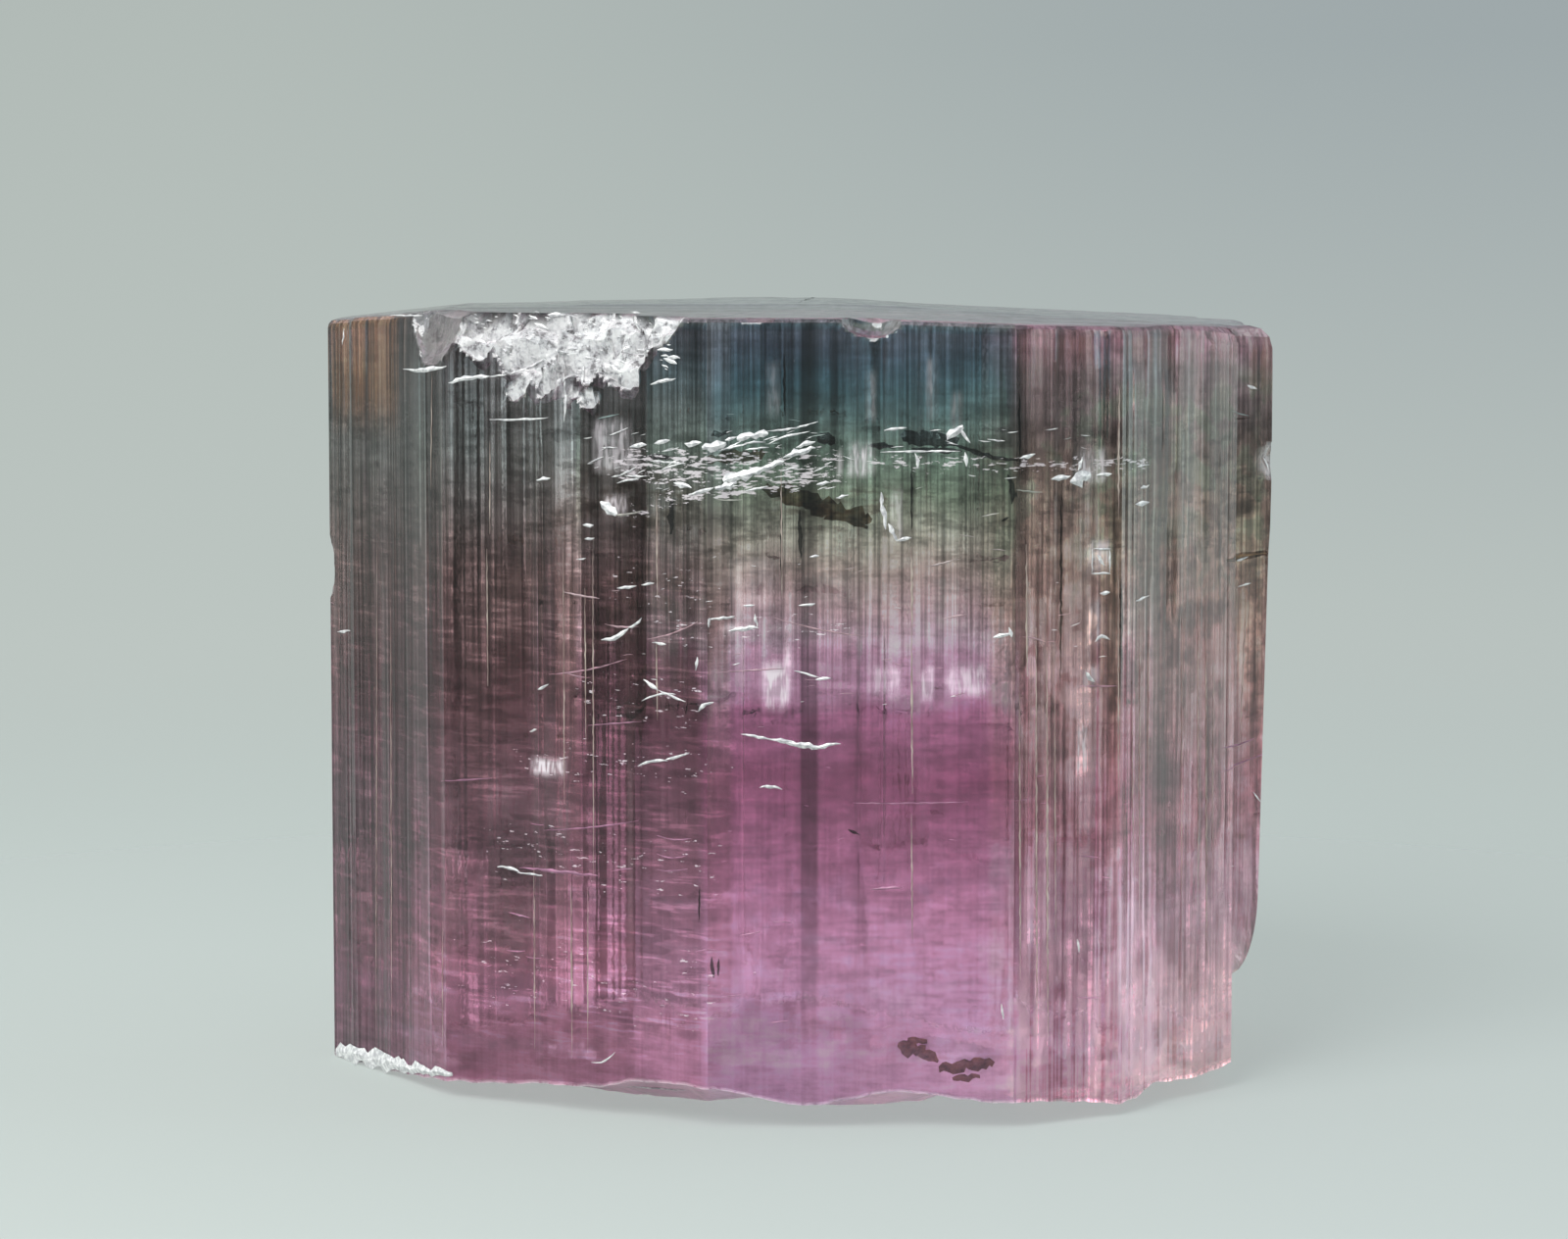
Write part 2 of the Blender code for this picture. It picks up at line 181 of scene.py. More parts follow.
# Marks are placed by pixels of the photograph, in its frame of 1600 by 1264. Each runs from a
# start to an end, with its width and how far it bows, all in pixels
Mark = namedtuple("Mark", "start_x start_y end_x end_y width bow", defaults=(0.0,))
# White flakes: painted glints of cracks and highlights of edges, and the real white of breaks
GLINTS = (
    (643, 456, 660, 453, 7), (668, 452, 684, 449, 6), (699, 453, 716, 451, 8), (717, 457, 741, 453, 12),
    (740, 449, 752, 446, 5), (752, 448, 784, 443, 12, 2), (780, 440, 835, 430, 3, -2),
    (785, 449, 826, 440, 3), (812, 456, 832, 450, 7), (799, 466, 832, 456, 9), (703, 505, 728, 497, 6),
    (730, 499, 752, 493, 10), (738, 491, 777, 479, 15), (768, 482, 800, 470, 9), (688, 492, 706, 498, 7),
    (664, 470, 700, 473, 3), (902, 439, 925, 436, 4), (966, 448, 982, 434, 11), (978, 436, 990, 452, 4),
    (898, 461, 980, 460, 3), (1040, 468, 1056, 463, 5), (985, 461, 986, 476, 5), (934, 462, 937, 478, 5),
    (833, 494, 846, 492, 5), (853, 508, 866, 505, 4), (899, 502, 904, 540, 7), (906, 534, 916, 552, 7),
    (914, 551, 930, 549, 5), (1072, 489, 1092, 486, 7), (1092, 492, 1112, 484, 17),
    (1100, 480, 1104, 466, 6), (1118, 485, 1134, 483, 5), (1115, 560, 1133, 560, 3),
    (1113, 585, 1133, 585, 3), (1114, 560, 1114, 584, 3), (1132, 561, 1132, 584, 3),
    (1119, 566, 1127, 577, 6), (1122, 606, 1132, 604, 6), (1117, 655, 1132, 652, 5, 5),
    (1107, 686, 1116, 696, 7), (1160, 476, 1172, 474, 4), (1163, 498, 1172, 495, 6),
    (1158, 515, 1172, 512, 7), (1158, 613, 1172, 608, 4), (595, 536, 606, 536, 5),
    (597, 550, 607, 549, 4), (613, 512, 629, 526, 14), (630, 600, 650, 598, 4),
    (655, 630, 641, 640, 5, 2), (642, 641, 614, 653, 7, 3), (655, 597, 668, 595, 3),
    (722, 632, 750, 629, 4), (723, 640, 724, 630, 3), (744, 644, 774, 640, 6, 1), (770, 626, 773, 640, 4),
    (758, 618, 770, 617, 3), (815, 618, 832, 616, 4), (826, 568, 836, 567, 4), (1013, 650, 1032, 646, 6),
    (1029, 640, 1032, 650, 6), (810, 684, 836, 691, 3), (832, 693, 848, 692, 5), (712, 670, 710, 684, 4),
    (666, 655, 680, 657, 4), (549, 703, 560, 698, 5), (541, 746, 548, 744, 4), (657, 693, 672, 704, 5),
    (655, 715, 690, 708, 3, 3), (672, 704, 700, 716, 3), (713, 726, 728, 716, 5, 2),
    (652, 781, 682, 776, 4, 2), (678, 776, 704, 768, 4), (756, 749, 792, 756, 4, 1),
    (788, 754, 810, 757, 6), (800, 757, 838, 764, 9, 1), (828, 765, 858, 759, 5, 2),
    (775, 803, 798, 805, 4, 2), (508, 884, 532, 891, 5, 2), (528, 890, 554, 893, 3),
    (604, 1084, 628, 1073, 3, -4), (345, 645, 358, 643, 4), (1288, 466, 1294, 480, 6),
    (1272, 393, 1282, 397, 5), (1278, 808, 1285, 818, 6), (1022, 1024, 1024, 1040, 3),
    (1099, 958, 1101, 972, 4), (548, 490, 562, 488, 5), (500, 428, 560, 426, 3, -1),
    (412, 377, 456, 374, 6, -2), (458, 391, 500, 384, 7, 2), (500, 384, 556, 366, 4, -4),
    (574, 372, 576, 430, 4, 2), (596, 372, 594, 392, 8), (664, 392, 690, 386, 5),
    (344, 1073, 386, 1079, 26), (366, 1078, 412, 1086, 28), (396, 1085, 438, 1092, 20),
    (424, 1090, 462, 1096, 12), (337, 320, 352, 318, 5), (352, 321, 380, 320, 3), (372, 318, 392, 316, 4),
    (398, 322, 432, 322, 3), (560, 1106, 640, 1107, 3, 2), (640, 1108, 700, 1112, 3),
    (930, 1120, 990, 1122, 3), (352, 335, 350, 352, 4),
)  # fmt: skip
WISPS = (
    (790, 630, 886, 649, 2, -3), (870, 819, 988, 818, 2, -1), (450, 797, 502, 794, 2),
    (555, 847, 652, 837, 2, -2), (670, 852, 706, 855, 2, -3), (670, 871, 700, 873, 2, -3),
    (670, 887, 702, 886, 2, -2), (888, 907, 922, 905, 4), (660, 652, 712, 634, 2, -3),
    (560, 688, 640, 672, 2, -3), (730, 686, 800, 682, 2), (600, 740, 655, 736, 2),
    (530, 885, 610, 893, 5), (1100, 700, 1140, 700, 2),
)  # fmt: skip
# Near-black flakes in painted shade: the dark look of voids in the cracks
VOIDS = (
    (834, 447, 852, 447, 18), (886, 455, 914, 456, 9), (920, 447, 978, 449, 24), (930, 458, 982, 460, 8),
    (972, 453, 1042, 470, 7, -3), (1029, 484, 1033, 514, 9, 2), (726, 976, 728, 998, 5),
    (733, 978, 733, 996, 4), (714, 905, 713, 940, 3), (865, 846, 878, 852, 4), (1022, 532, 1030, 528, 4),
    (1052, 462, 1046, 470, 4), (648, 468, 690, 466, 8), (725, 444, 745, 441, 9),
    (1145, 598, 1144, 612, 5), (686, 510, 684, 545, 10),
)  # fmt: skip
RUST = (
    (722, 470, 780, 462, 20), (780, 496, 890, 530, 26, -2), (800, 505, 886, 538, 10),
    (916, 1066, 944, 1072, 22), (936, 1072, 958, 1082, 16), (958, 1090, 990, 1086, 20),
    (984, 1086, 1014, 1084, 18), (972, 1101, 1000, 1098, 10), (926, 1060, 946, 1062, 10),
)  # fmt: skip
TUBES = (
    (670, 505, 671, 612, 2.4), (670, 655, 671, 735, 2.4), (497, 560, 498, 700, 1.8),
    (575, 560, 576, 820, 1.8), (605, 560, 606, 900, 1.8), (597, 600, 598, 760, 1.8),
    (930, 558, 931, 640, 3.2), (930, 640, 931, 810, 2.4), (930, 830, 931, 960, 1.8),
    (1047, 555, 1048, 690, 3.2), (1040, 700, 1041, 1000, 2.4), (1142, 395, 1141, 530, 3.2),
    (1057, 640, 1058, 1070, 2.4), (1068, 660, 1069, 1060, 3.2), (1076, 700, 1077, 960, 1.8),
    (1163, 620, 1162, 930, 2.4), (1172, 640, 1171, 800, 2.4), (1222, 570, 1222, 930, 2.4),
    (1230, 610, 1231, 990, 3.2), (1238, 640, 1237, 890, 1.8), (1206, 600, 1205, 960, 1.8),
    (1141, 560, 1141, 840, 1.8), (545, 880, 546, 1070, 1.8), (583, 900, 584, 1080, 2.4),
    (600, 905, 600, 1075, 1.8), (452, 940, 452, 1070, 1.8), (797, 480, 798, 610, 1.8),
    (385, 560, 384, 1070, 1.8), (399, 620, 400, 1060, 1.8), (500, 450, 500, 545, 1.8),
    (441, 380, 440, 500, 1.8), (1155, 720, 1156, 905, 2.4),
)  # fmt: skip
# Dark lines in painted shade, where edges and striae show dark through the crystal
PAINTED_SHADE_LINES = (
    (1083, 488, 1082, 710, 4), (816, 520, 817, 570, 6), (797, 500, 797, 590, 3),
    (1145, 590, 1144, 700, 4), (347, 360, 347, 1060, 3), (1040, 400, 1041, 470, 4),
    (800, 360, 801, 425, 4), (930, 470, 930, 545, 3),
)  # fmt: skip
# Random marks: box in pixels (left, top, right, bottom), count, length, width and tilt in degrees
SPARKLE_SEED = 5
GLINT_SEED = 31
VEIL_SEED = 32
TUBE_SEED = 33
VOID_SEED = 34
RUST_SEED = 35
# White sparkles: painted glints of cracks; the last box, in the chip, the white of its break
SPARKLES = (
    ((600, 440, 850, 500), 60, 16.0, 1.8, -12.0),
    ((850, 436, 1130, 490), 24, 14.0, 1.6, 6.0),
    ((590, 560, 1160, 720), 24, 10.0, 1.5, -4.0),
    ((480, 318, 688, 380), 90, 10.0, 4.0, 14.0),
)
WISP_CLOUDS = (
    ((455, 780, 1150, 1080), 40, 16.0, 1.4, 0.0),
    ((590, 420, 1130, 760), 40, 24.0, 2.0, 0.0),
)
# Random marks on the other sides: count for each crack, length and width
# The other sides' glints are white flakes that paint glints
GLINTS_ROUND = (6, 26.0, 4.0)
VEILS_ROUND = (6, 60.0, 3.0)
# The other sides' voids are near-black flakes in painted shade
VOIDS_ROUND = (1, 20.0, 5.0)
RUST_ROUND = (1, 24.0, 7.0)
TUBES_ROUND = (12, 450, 950, 190.0, 4.0)  # count, highest and lowest pixel, length and width
BLUNT_WIDTH = 0.18  # in millimetres: wider marks have blunt ends
# Spots of the front: place along X, height, half width, half height, and strength
MILKY_SPOTS = (
    (-0.55, 10.6, 0.30, 0.50, 1.0), (-0.28, 10.95, 0.10, 0.55, 0.8), (2.05, 10.75, 0.35, 0.35, 0.5),
    (3.05, 10.65, 0.14, 0.32, 0.8), (3.95, 10.7, 0.45, 0.35, 0.7), (1.45, 15.9, 0.28, 0.36, 0.9),
    (0.95, 15.8, 0.08, 0.30, 0.6), (-4.45, 16.2, 0.45, 0.60, 0.6), (-3.95, 15.9, 0.20, 0.40, 0.5),
    (-4.35, 14.75, 0.26, 0.22, 0.8), (7.15, 13.6, 0.26, 0.35, 0.8), (7.05, 12.0, 0.18, 0.50, 0.5),
    (6.75, 9.0, 0.14, 0.60, 0.8), (6.95, 10.7, 0.2, 0.25, 0.6), (-6.05, 8.35, 0.4, 0.22, 1.0),
    (-0.6, 17.6, 0.12, 0.6, 0.35), (1.7, 17.4, 0.1, 0.6, 0.3), (3.1, 17.6, 0.12, 0.7, 0.4),
    (3.7, 17.0, 0.1, 0.5, 0.35), (-1.5, 11.9, 0.35, 0.12, 0.6), (-1.1, 13.0, 0.5, 0.6, 0.22),
    (2.3, 14.6, 0.12, 0.6, 0.5), (6.95, 15.7, 0.35, 0.35, 0.9),
)  # fmt: skip
BROWN_SPOTS = (
    (-8.6, 18.2, 1.1, 0.8, 0.35), (-4.4, 12.0, 0.8, 1.0, 0.5), (-5.6, 14.4, 0.9, 0.5, 0.4),
    (-3.9, 14.9, 1.5, 0.8, 0.8), (-3.4, 12.9, 1.2, 0.7, 0.6), (0.9, 14.9, 1.7, 0.35, 0.8),
    (5.6, 15.9, 1.6, 0.3, 0.7), (-3.0, 10.6, 1.0, 0.9, 0.6), (-0.6, 14.0, 1.2, 0.3, 0.5),
)  # fmt: skip
# Patches that are brighter than their zone, or darker where the change is negative: painted light
# and shade, with some of the crystal's own tone
PATCHES = (
    (6.4, 12.4, 1.2, 2.4, 0.7), (6.4, 3.0, 1.2, 2.4, 0.6), (9.3, 2.6, 1.9, 2.6, 0.8),
    (-6.7, 6.2, 1.1, 0.7, -0.6), (-7.2, 4.3, 1.0, 1.3, -0.3), (-0.8, 2.1, 2.2, 0.7, 0.6),
    (3.4, 15.4, 1.4, 0.9, -0.3), (-1.3, 14.7, 0.8, 0.6, -0.4), (-4.8, 3.0, 1.4, 1.5, 0.2),
    (4.2, 9.8, 3.2, 0.6, 0.15), (-9.6, 15.9, 0.9, 2.6, -0.4), (-5.2, 15.0, 0.7, 1.3, 0.4),
    (-7.4, 8.6, 1.4, 1.6, 0.15), (7.9, 17.9, 2.0, 0.7, 0.15), (10.2, 3.4, 0.8, 3.0, 0.5),
    (6.6, 9.6, 1.0, 0.8, -0.2), (0.8, 13.0, 1.0, 2.0, 0.15), (3.6, 5.6, 5.0, 1.0, -0.08),
    (8.4, 13.0, 0.7, 1.6, -0.18), (9.7, 13.2, 0.6, 2.2, -0.2), (10.7, 13.0, 0.5, 2.4, -0.2),
    (-5.9, 11.6, 1.4, 2.4, 0.25),
)  # fmt: skip
# Bands of bright flecks along the healed cracks: height at the axis, slope along X, half
# height, X of its two ends, and how dense
FLECK_BANDS = (
    (15.75, 0.00, 0.75, -4.6, 1.2, 1.0),
    (15.35, 0.10, 0.30, -3.2, 0.6, 1.15),
    (15.9, -0.02, 0.35, 1.0, 8.6, 0.85),
    (14.7, 0.0, 0.6, -4.8, -2.6, 0.6),
    (12.9, 0.0, 1.0, -4.8, -1.6, 0.55),
    (12.0, 0.05, 0.7, -3.8, 1.6, 0.62),
    (10.2, 0.0, 1.2, -5.5, -1.8, 0.54),
    (8.6, 0.0, 0.9, -7.0, -1.6, 0.58),
    (6.2, 0.0, 1.3, -8.0, -1.6, 0.52),
    (3.2, 0.0, 1.8, -8.5, -1.0, 0.48),
)
FLECK_END = 0.5
MILKY_SOFTNESS = 0.25
PATCH_SOFTNESS = 0.5
FRONT_FROM_Y = (3.0, 4.0)  # distances in front of the axis between which such spots fade in
MARK_SLIMMING = 0.8  # a mark's glow makes it look wider in the photograph than its solid is
STATION_GAP = 5.0  # pixels between the stations of a mark
MARK_WAVER = 0.1  # how far a station strays sideways, as a share of the mark's width
MARK_THICKNESS = (0.5, 0.10)  # as a share of the width, and the most in millimetres
RIBBON_END = 0.08
POINTED = 0.8  # powers of the sine that a ribbon's width follows: pointed or blunt ends
BLUNT = 0.35
RAGGED_LEAST = 0.15
SMALL_MARK = 0.35  # a scattered mark's least size, and what the largest add to it
LARGE_MARK = 1.4
MARK_TURN = 16.0
MARK_BOW = 0.12
GLINT_PROUD = -0.02
WISP_PROUD = -0.006
TUBE_PROUD = -0.010
VOID_DEPTHS = (0.06, 0.16)
RUST_DEPTHS = (0.05, 0.12)
# Heights, in the photograph's pixels, of the cracks that run right round, and how far they spread
CRACK_ROWS = (455, 610, 655, 790, 930)
CRACK_SPREAD = 22
OTHER_SIDES = (55.0, 105.0, 150.0, 195.0, 245.0, 300.0)  # turns of the camera about the crystal
SIDE_FACES_Y = -0.45  # faces whose normal points less to the front than this are the sides
SIDE_SPAN = (430, 1170)  # pixels across that a turned camera's marks keep to

# Height in millimetres, and the veils' colour there
VEIL_ZONES = (
    (3.0, (170, 120, 148)),
    (9.0, (146, 102, 126)),
    (12.0, (164, 134, 140)),
    (15.5, (146, 152, 142)),
    (17.5, (104, 128, 130)),
)

# Colour zones up the crystal: height in millimetres, and the colour seen against the backdrop
CENTRE_ZONES = (
    (0.0, (255, 168, 212)),
    (4.0, (222, 142, 184)),
    (6.0, (156, 90, 126)),
    (8.5, (146, 78, 112)),
    (10.0, (182, 120, 158)),
    (10.4, (244, 184, 212)),
    (12.3, (186, 150, 152)),
    (13.8, (178, 174, 160)),
    (15.2, (122, 142, 122)),
    (16.6, (112, 132, 130)),
    (17.1, (74, 100, 106)),
    (17.6, (64, 94, 106)),
    (18.5, (72, 82, 98)),
    (19.4, (100, 106, 116)),
)
LEFT_ZONES = (
    (0.0, (226, 146, 180)),
    (4.0, (166, 104, 128)),
    (5.5, (130, 82, 98)),
    (7.0, (122, 80, 92)),
    (10.0, (112, 82, 86)),
    (13.0, (126, 100, 100)),
    (16.0, (148, 152, 152)),
    (19.4, (104, 100, 108)),
)
RIGHT_ZONES = (
    (0.0, (246, 148, 172)),
    (4.5, (255, 160, 182)),
    (7.0, (168, 106, 118)),
    (8.0, (150, 98, 108)),
    (11.0, (206, 162, 152)),
    (13.5, (178, 154, 136)),
    (16.0, (122, 102, 98)),
    (18.0, (158, 134, 144)),
    (18.6, (206, 150, 170)),
    (19.4, (150, 104, 120)),
)
# The top face: how far from the middle of its three-sided zones, in millimetres, and the colour
TOP_ZONES = (
    (0.0, (92, 108, 116)),
    (2.4, (70, 88, 104)),
    (4.6, (96, 112, 108)),
    (6.4, (128, 116, 118)),
    (8.0, (110, 104, 112)),
    (10.5, (158, 122, 138)),
)
TOP_REACH = 12.0
BACKDROP_SHARE = 0.72  # a zone's colour is divided by this, as the backdrop isn't white

# Bright and dark upright bands of the front: place along X in millimetres, and brightness; painted
# light and shade of back edges and striae seen through the crystal, with some of its own streaked tone
LEFT_BANDS = (
    (-12.0, 0.75), (-10.7, 0.8), (-10.4, 1.15), (-10.1, 0.78), (-9.0, 0.82), (-8.75, 1.1), (-8.5, 0.95),
    (-8.2, 0.62), (-7.7, 0.62), (-7.4, 1.0), (-6.6, 0.9), (-5.95, 1.0), (-5.75, 1.35), (-5.5, 1.0),
    (-5.05, 0.9), (-4.85, 0.6), (-4.6, 0.9), (-3.95, 0.85), (-3.7, 0.6), (-3.4, 0.85), (-2.3, 0.8),
    (-2.15, 1.15), (-1.0, 1.05), (-0.2, 1.0),
)  # fmt: skip
RIGHT_BANDS = (
    (-0.2, 1.0), (0.02, 0.95), (0.08, 0.45), (0.42, 0.45), (0.48, 1.0), (1.2, 1.0), (1.35, 0.78),
    (1.6, 1.0), (3.4, 1.05), (5.3, 1.0), (5.6, 1.4), (6.0, 1.3), (6.1, 0.9), (6.25, 1.15), (6.8, 1.2),
    (7.0, 1.5), (7.25, 1.2), (7.55, 0.65), (7.8, 0.9), (8.1, 1.2), (8.4, 0.75), (8.75, 0.6), (9.1, 0.9),
    (9.5, 1.25), (9.8, 1.1), (10.0, 0.8), (10.3, 1.0), (11.7, 1.05),
)  # fmt: skip

# Tints that are mixed into the zones
GREEN_BLOCKS = (0.17, 0.22, 0.16, 1.0)
BROWN_BLOCKS = (0.17, 0.11, 0.10, 1.0)
ORANGE_STAIN = (0.95, 0.42, 0.20, 1.0)
BROWN_STAIN = (0.17, 0.12, 0.085, 1.0)
PEACH_STAIN = (0.95, 0.52, 0.46, 1.0)
MILKY_TINT = (0.92, 0.84, 0.89, 1.0)
FROST_TINT = (0.95, 0.66, 0.82, 1.0)
SHARDS = ((0.36, (0.26, 0.25, 0.26, 1.0)), (0.44, (0.70, 0.70, 0.72, 1.0)), (0.54, (0.98, 0.98, 0.98, 1.0)))
ABSORBED = {"Color": (0.75, 0.55, 0.6, 1.0), "Density": 6.0}

# Opaque finishes: dark and light colour, specks for each millimetre, and roughness
# White of the glint flakes: painted glints, and the white of breaks
GLINT_LOOK = ((0.48, 0.48, 0.50), (0.97, 0.97, 0.96), 9.0, 0.22)
TUBE_LOOK = ((0.26, 0.19, 0.17), (0.56, 0.48, 0.42), 1.5, 0.35)
# Near-black of the voids and dark lines: painted shade
VOID_LOOK = ((0.008, 0.008, 0.01), (0.03, 0.03, 0.035), 4.0, 0.15)
RUST_LOOK = ((0.09, 0.055, 0.03), (0.26, 0.15, 0.07), 5.0, 0.6)

# The backdrop's colours by share of the way up its span, which is given as a direction's Z
LEFT_SKY = ((0.0, (206, 214, 210)), (0.45, (188, 197, 193)), (0.78, (178, 187, 183)), (1.0, (172, 180, 178)))
RIGHT_SKY = ((0.0, (203, 211, 209)), (0.45, (184, 193, 190)), (0.78, (159, 169, 171)), (1.0, (156, 165, 168)))
SKY_SPAN = (-0.26, 0.12)

# The floor and the light, in millimetres and watts
FLOOR_RADIUS = 121.0
FLOOR_CORNERS = 96
FLOOR_DROP = -0.02
FLOOR_COLOUR = (186, 194, 191)
FLOOR_SHOWN = 0.40
FLOOR_FADES = (0.12, 0.03)  # distances from the axis, in metres, where it is gone and where it is full
KEY_PLACE = (-60.0, -100.0, 120.0)
KEY_TARGET = (0.0, 0.0, 10.0)
KEY_SIZE = 100.0
KEY_POWER = 0.28

Outline = namedtuple("Outline", "x y normal_x normal_y groove step_z step_change face")
Columns = namedtuple("Columns", "start end share normal_x normal_y depth change_z change direction")


def unit(direction):
    """The unit vector, in plan, that points in a direction given in degrees from +X."""
    return Vector((math.cos(math.radians(direction)), math.sin(math.radians(direction))))


def smooth_step(value, start, end):
    """0 before start, 1 after end, and an even S between them."""
    share = np.clip((value - start) / (end - start), 0.0, 1.0)
    return share * share * (3.0 - 2.0 * share)


def noise_at(places, size):
    """Smooth noise between about -1 and 1 at each place."""
    flat = (np.asarray(places, float) / size).reshape(-1, 3)
    values = np.fromiter((noise.noise(place) for place in flat.tolist()), float, len(flat))
    return values.reshape(np.shape(places)[:-1])


def corner(face, following):
    """Where two prism faces meet, in plan."""
    first = unit(face.direction)
    second = unit(following.direction)
    area = first.x * second.y - first.y * second.x
    return Vector(
        (
            (face.distance * second.y - following.distance * first.y) / area,
            (first.x * following.distance - second.x * face.distance) / area,
        )
    )


def stria_lines(start, end, dice):
    """Distances along a face, from its start, of the lines where one broad stria meets the next."""
    length = (end - start).length
    kept = [y - start.y for y in RIB_FRONT_Y + RIB_BACK_Y if start.x > RIB_FACE_X and end.x > RIB_FACE_X]
    lines = list(kept)
    travelled = dice.uniform(*STRIA_WIDTH)
    while travelled < length - STRIA_WIDTH[0]:
        if all(abs(travelled - line) > STRIA_WIDTH[0] for line in kept):
            lines.append(travelled)
        travelled += dice.uniform(*STRIA_WIDTH)
    return sorted(lines)


def broad_outline():
    """The prism's plan with its broad striae, drawn with the same dice as the solid."""
    dice = random.Random(STRIA_SEED)
    rows = []

    def add_line(place, normal, depth, face_index):
        heights = sorted(dice.uniform(*STEP_HEIGHTS) * HEIGHT for _ in range(STRIA_STEPS))
        changes = [dice.uniform(-STEP_CHANGE, STEP_CHANGE) * depth for _ in heights]
        groove = dice.random() * depth
        rows.append((place.x, place.y, normal.x, normal.y, groove, heights, changes, face_index))

    for index, face in enumerate(PRISM_FACES):
        before = PRISM_FACES[index - 1]
        after = PRISM_FACES[(index + 1) % len(PRISM_FACES)]
        start = corner(before, face)
        end = corner(face, after)
        normal = unit(face.direction)
        at_corner = (unit(before.direction) + normal).normalized()
        add_line(start, at_corner, face.broad * CORNER_GROOVE, index)
        for line in stria_lines(start, end, dice):
            add_line(start + (end - start).normalized() * line, normal, face.broad, index)
    return Outline(*(np.array(values) for values in zip(*rows)))


def fine_columns(outline):
    """The columns of the fine mesh: each lies between two broad striae's lines, with a fine groove."""
    dice = random.Random(FINE_SEED)
    rows = []
    count = len(outline.x)
    for i in range(count):
        j = (i + 1) % count
        face = PRISM_FACES[outline.face[i]]
        normal = unit(face.direction)
        length = math.hypot(outline.x[j] - outline.x[i], outline.y[j] - outline.y[i])
        parts = max(1, round(length / face.fine_width))
        for part in range(parts):
            share = (part + (dice.uniform(-FINE_WANDER, FINE_WANDER) if part else 0.0)) / parts
            depth = face.fine * dice.random() if part else 0.0
            change = face.fine * dice.uniform(-FINE_CHANGE, FINE_CHANGE) if part else 0.0
            x = outline.x[i] + (outline.x[j] - outline.x[i]) * share
            y = outline.y[i] + (outline.y[j] - outline.y[i]) * share
            direction = math.degrees(math.atan2(y, x)) % 360.0
            change_z = dice.uniform(*FINE_CHANGE_Z)
            rows.append((i, j, share, normal.x, normal.y, depth, change_z, change, direction))
    return Columns(*(np.array(values) for values in zip(*rows)))


def rib_height(x, y, z):
    """How far the rib stands out from the right face."""
    across = smooth_step(y, *RIB_FRONT_Y) * (1.0 - smooth_step(y, *RIB_BACK_Y)) * (x > RIB_FACE_X)
    foot_z, top_z = RIB_THINS_OVER
    share = np.clip((z - foot_z) / (top_z - foot_z), 0.0, 1.0)
    thickness = RIB_FOOT_THICKNESS + (RIB_TOP_THICKNESS - RIB_FOOT_THICKNESS) * share
    short_of_full = np.clip(1.0 - (z - RIB_FOOT_Z) / RIB_FOOT_ROUNDING, 0.0, 1.0)
    return thickness * across * np.sqrt(1.0 - short_of_full**2)


def line_place(outline, line, z):
    """Plan position of broad stria lines at heights z, with their grooves and the rib."""
    depth = outline.groove[line] + np.zeros_like(z)
    for step in range(STRIA_STEPS):
        start = outline.step_z[line, step]
        depth += outline.step_change[line, step] * smooth_step(z, start, start + STRIA_RAMP)
    x = outline.x[line]
    y = outline.y[line]
    out = rib_height(x, y, z) - depth
    return x + outline.normal_x[line] * out, y + outline.normal_y[line] * out


def side_place(outline, columns, z):
    """Points on the side, one for each column, at heights z."""
    start_x, start_y = line_place(outline, columns.start, z)
    end_x, end_y = line_place(outline, columns.end, z)
    change = columns.change * smooth_step(z, columns.change_z, columns.change_z + FINE_RAMP)
    depth = columns.depth + change
    x = start_x + (end_x - start_x) * columns.share - columns.normal_x * depth
    y = start_y + (end_y - start_y) * columns.share - columns.normal_y * depth
    return np.stack((x, y, z), -1)


def rim_height(columns):
    """Height of the base's rim at each column, with small jags."""
    directions, heights = zip(*BASE_RIM)
    smooth = np.interp(columns.direction, directions, heights)
    turned = np.radians(columns.direction)
    round_rim = np.stack((np.cos(turned), np.sin(turned), np.zeros_like(turned)), -1) * 10.0
    return np.maximum(0.0, smooth + RIM_JAG * noise_at(round_rim, RIM_JAG_SIZE))


def top_height(x, y):
    """Height of the termination, with its growth ledges."""
    right_fall = RIGHT_FALL * np.maximum(0.0, x - RIGHT_FALL_FROM_X)
    left_fall = LEFT_FALL * np.maximum(0.0, LEFT_FALL_FROM_X - x)
    reach = np.full_like(x, -1e9)
    for direction in LEDGE_DIRECTIONS:
        normal = unit(direction)
        reach = np.maximum(reach, (x - LEDGE_CENTRE[0]) * normal.x + (y - LEDGE_CENTRE[1]) * normal.y)
    ledges = sum(LEDGE_RISE * smooth_step(reach, size, size + LEDGE_SLOPE) for size in LEDGE_SIZES)
    return HEIGHT - right_fall - left_fall - ledges


def edge_radius(columns):
    """Radius of the worn top edge, larger where the top meets the rib."""
    away = np.abs((columns.direction - CORNER_DIRECTION + 180.0) % 360.0 - 180.0)
    share = 1.0 - smooth_step(away, 0.0, CORNER_HALF_WIDTH)
    return EDGE_RADIUS + (CORNER_RADIUS - EDGE_RADIUS) * share


def break_relief(x, y):
    """Height of the uneven break round the base's flat foot."""
    flat = np.stack((x, y, np.zeros_like(x)), -1)
    humps = HACKLE * np.maximum(0.0, noise_at(flat, HACKLE_SIZE))
    ledges = LEDGE * smooth_step(noise_at(flat + (0.0, 0.0, LEDGE_SIZE), LEDGE_SIZE), *LEDGE_FACE)
    crumbs = CRUMB * np.maximum(0.0, noise_at(flat, CRUMB_SIZE))
    off_foot = smooth_step(np.hypot(x, y), FOOT_RADIUS, FOOT_RADIUS + BREAK_STARTS_OVER)
    return (humps + ledges + crumbs) * off_foot


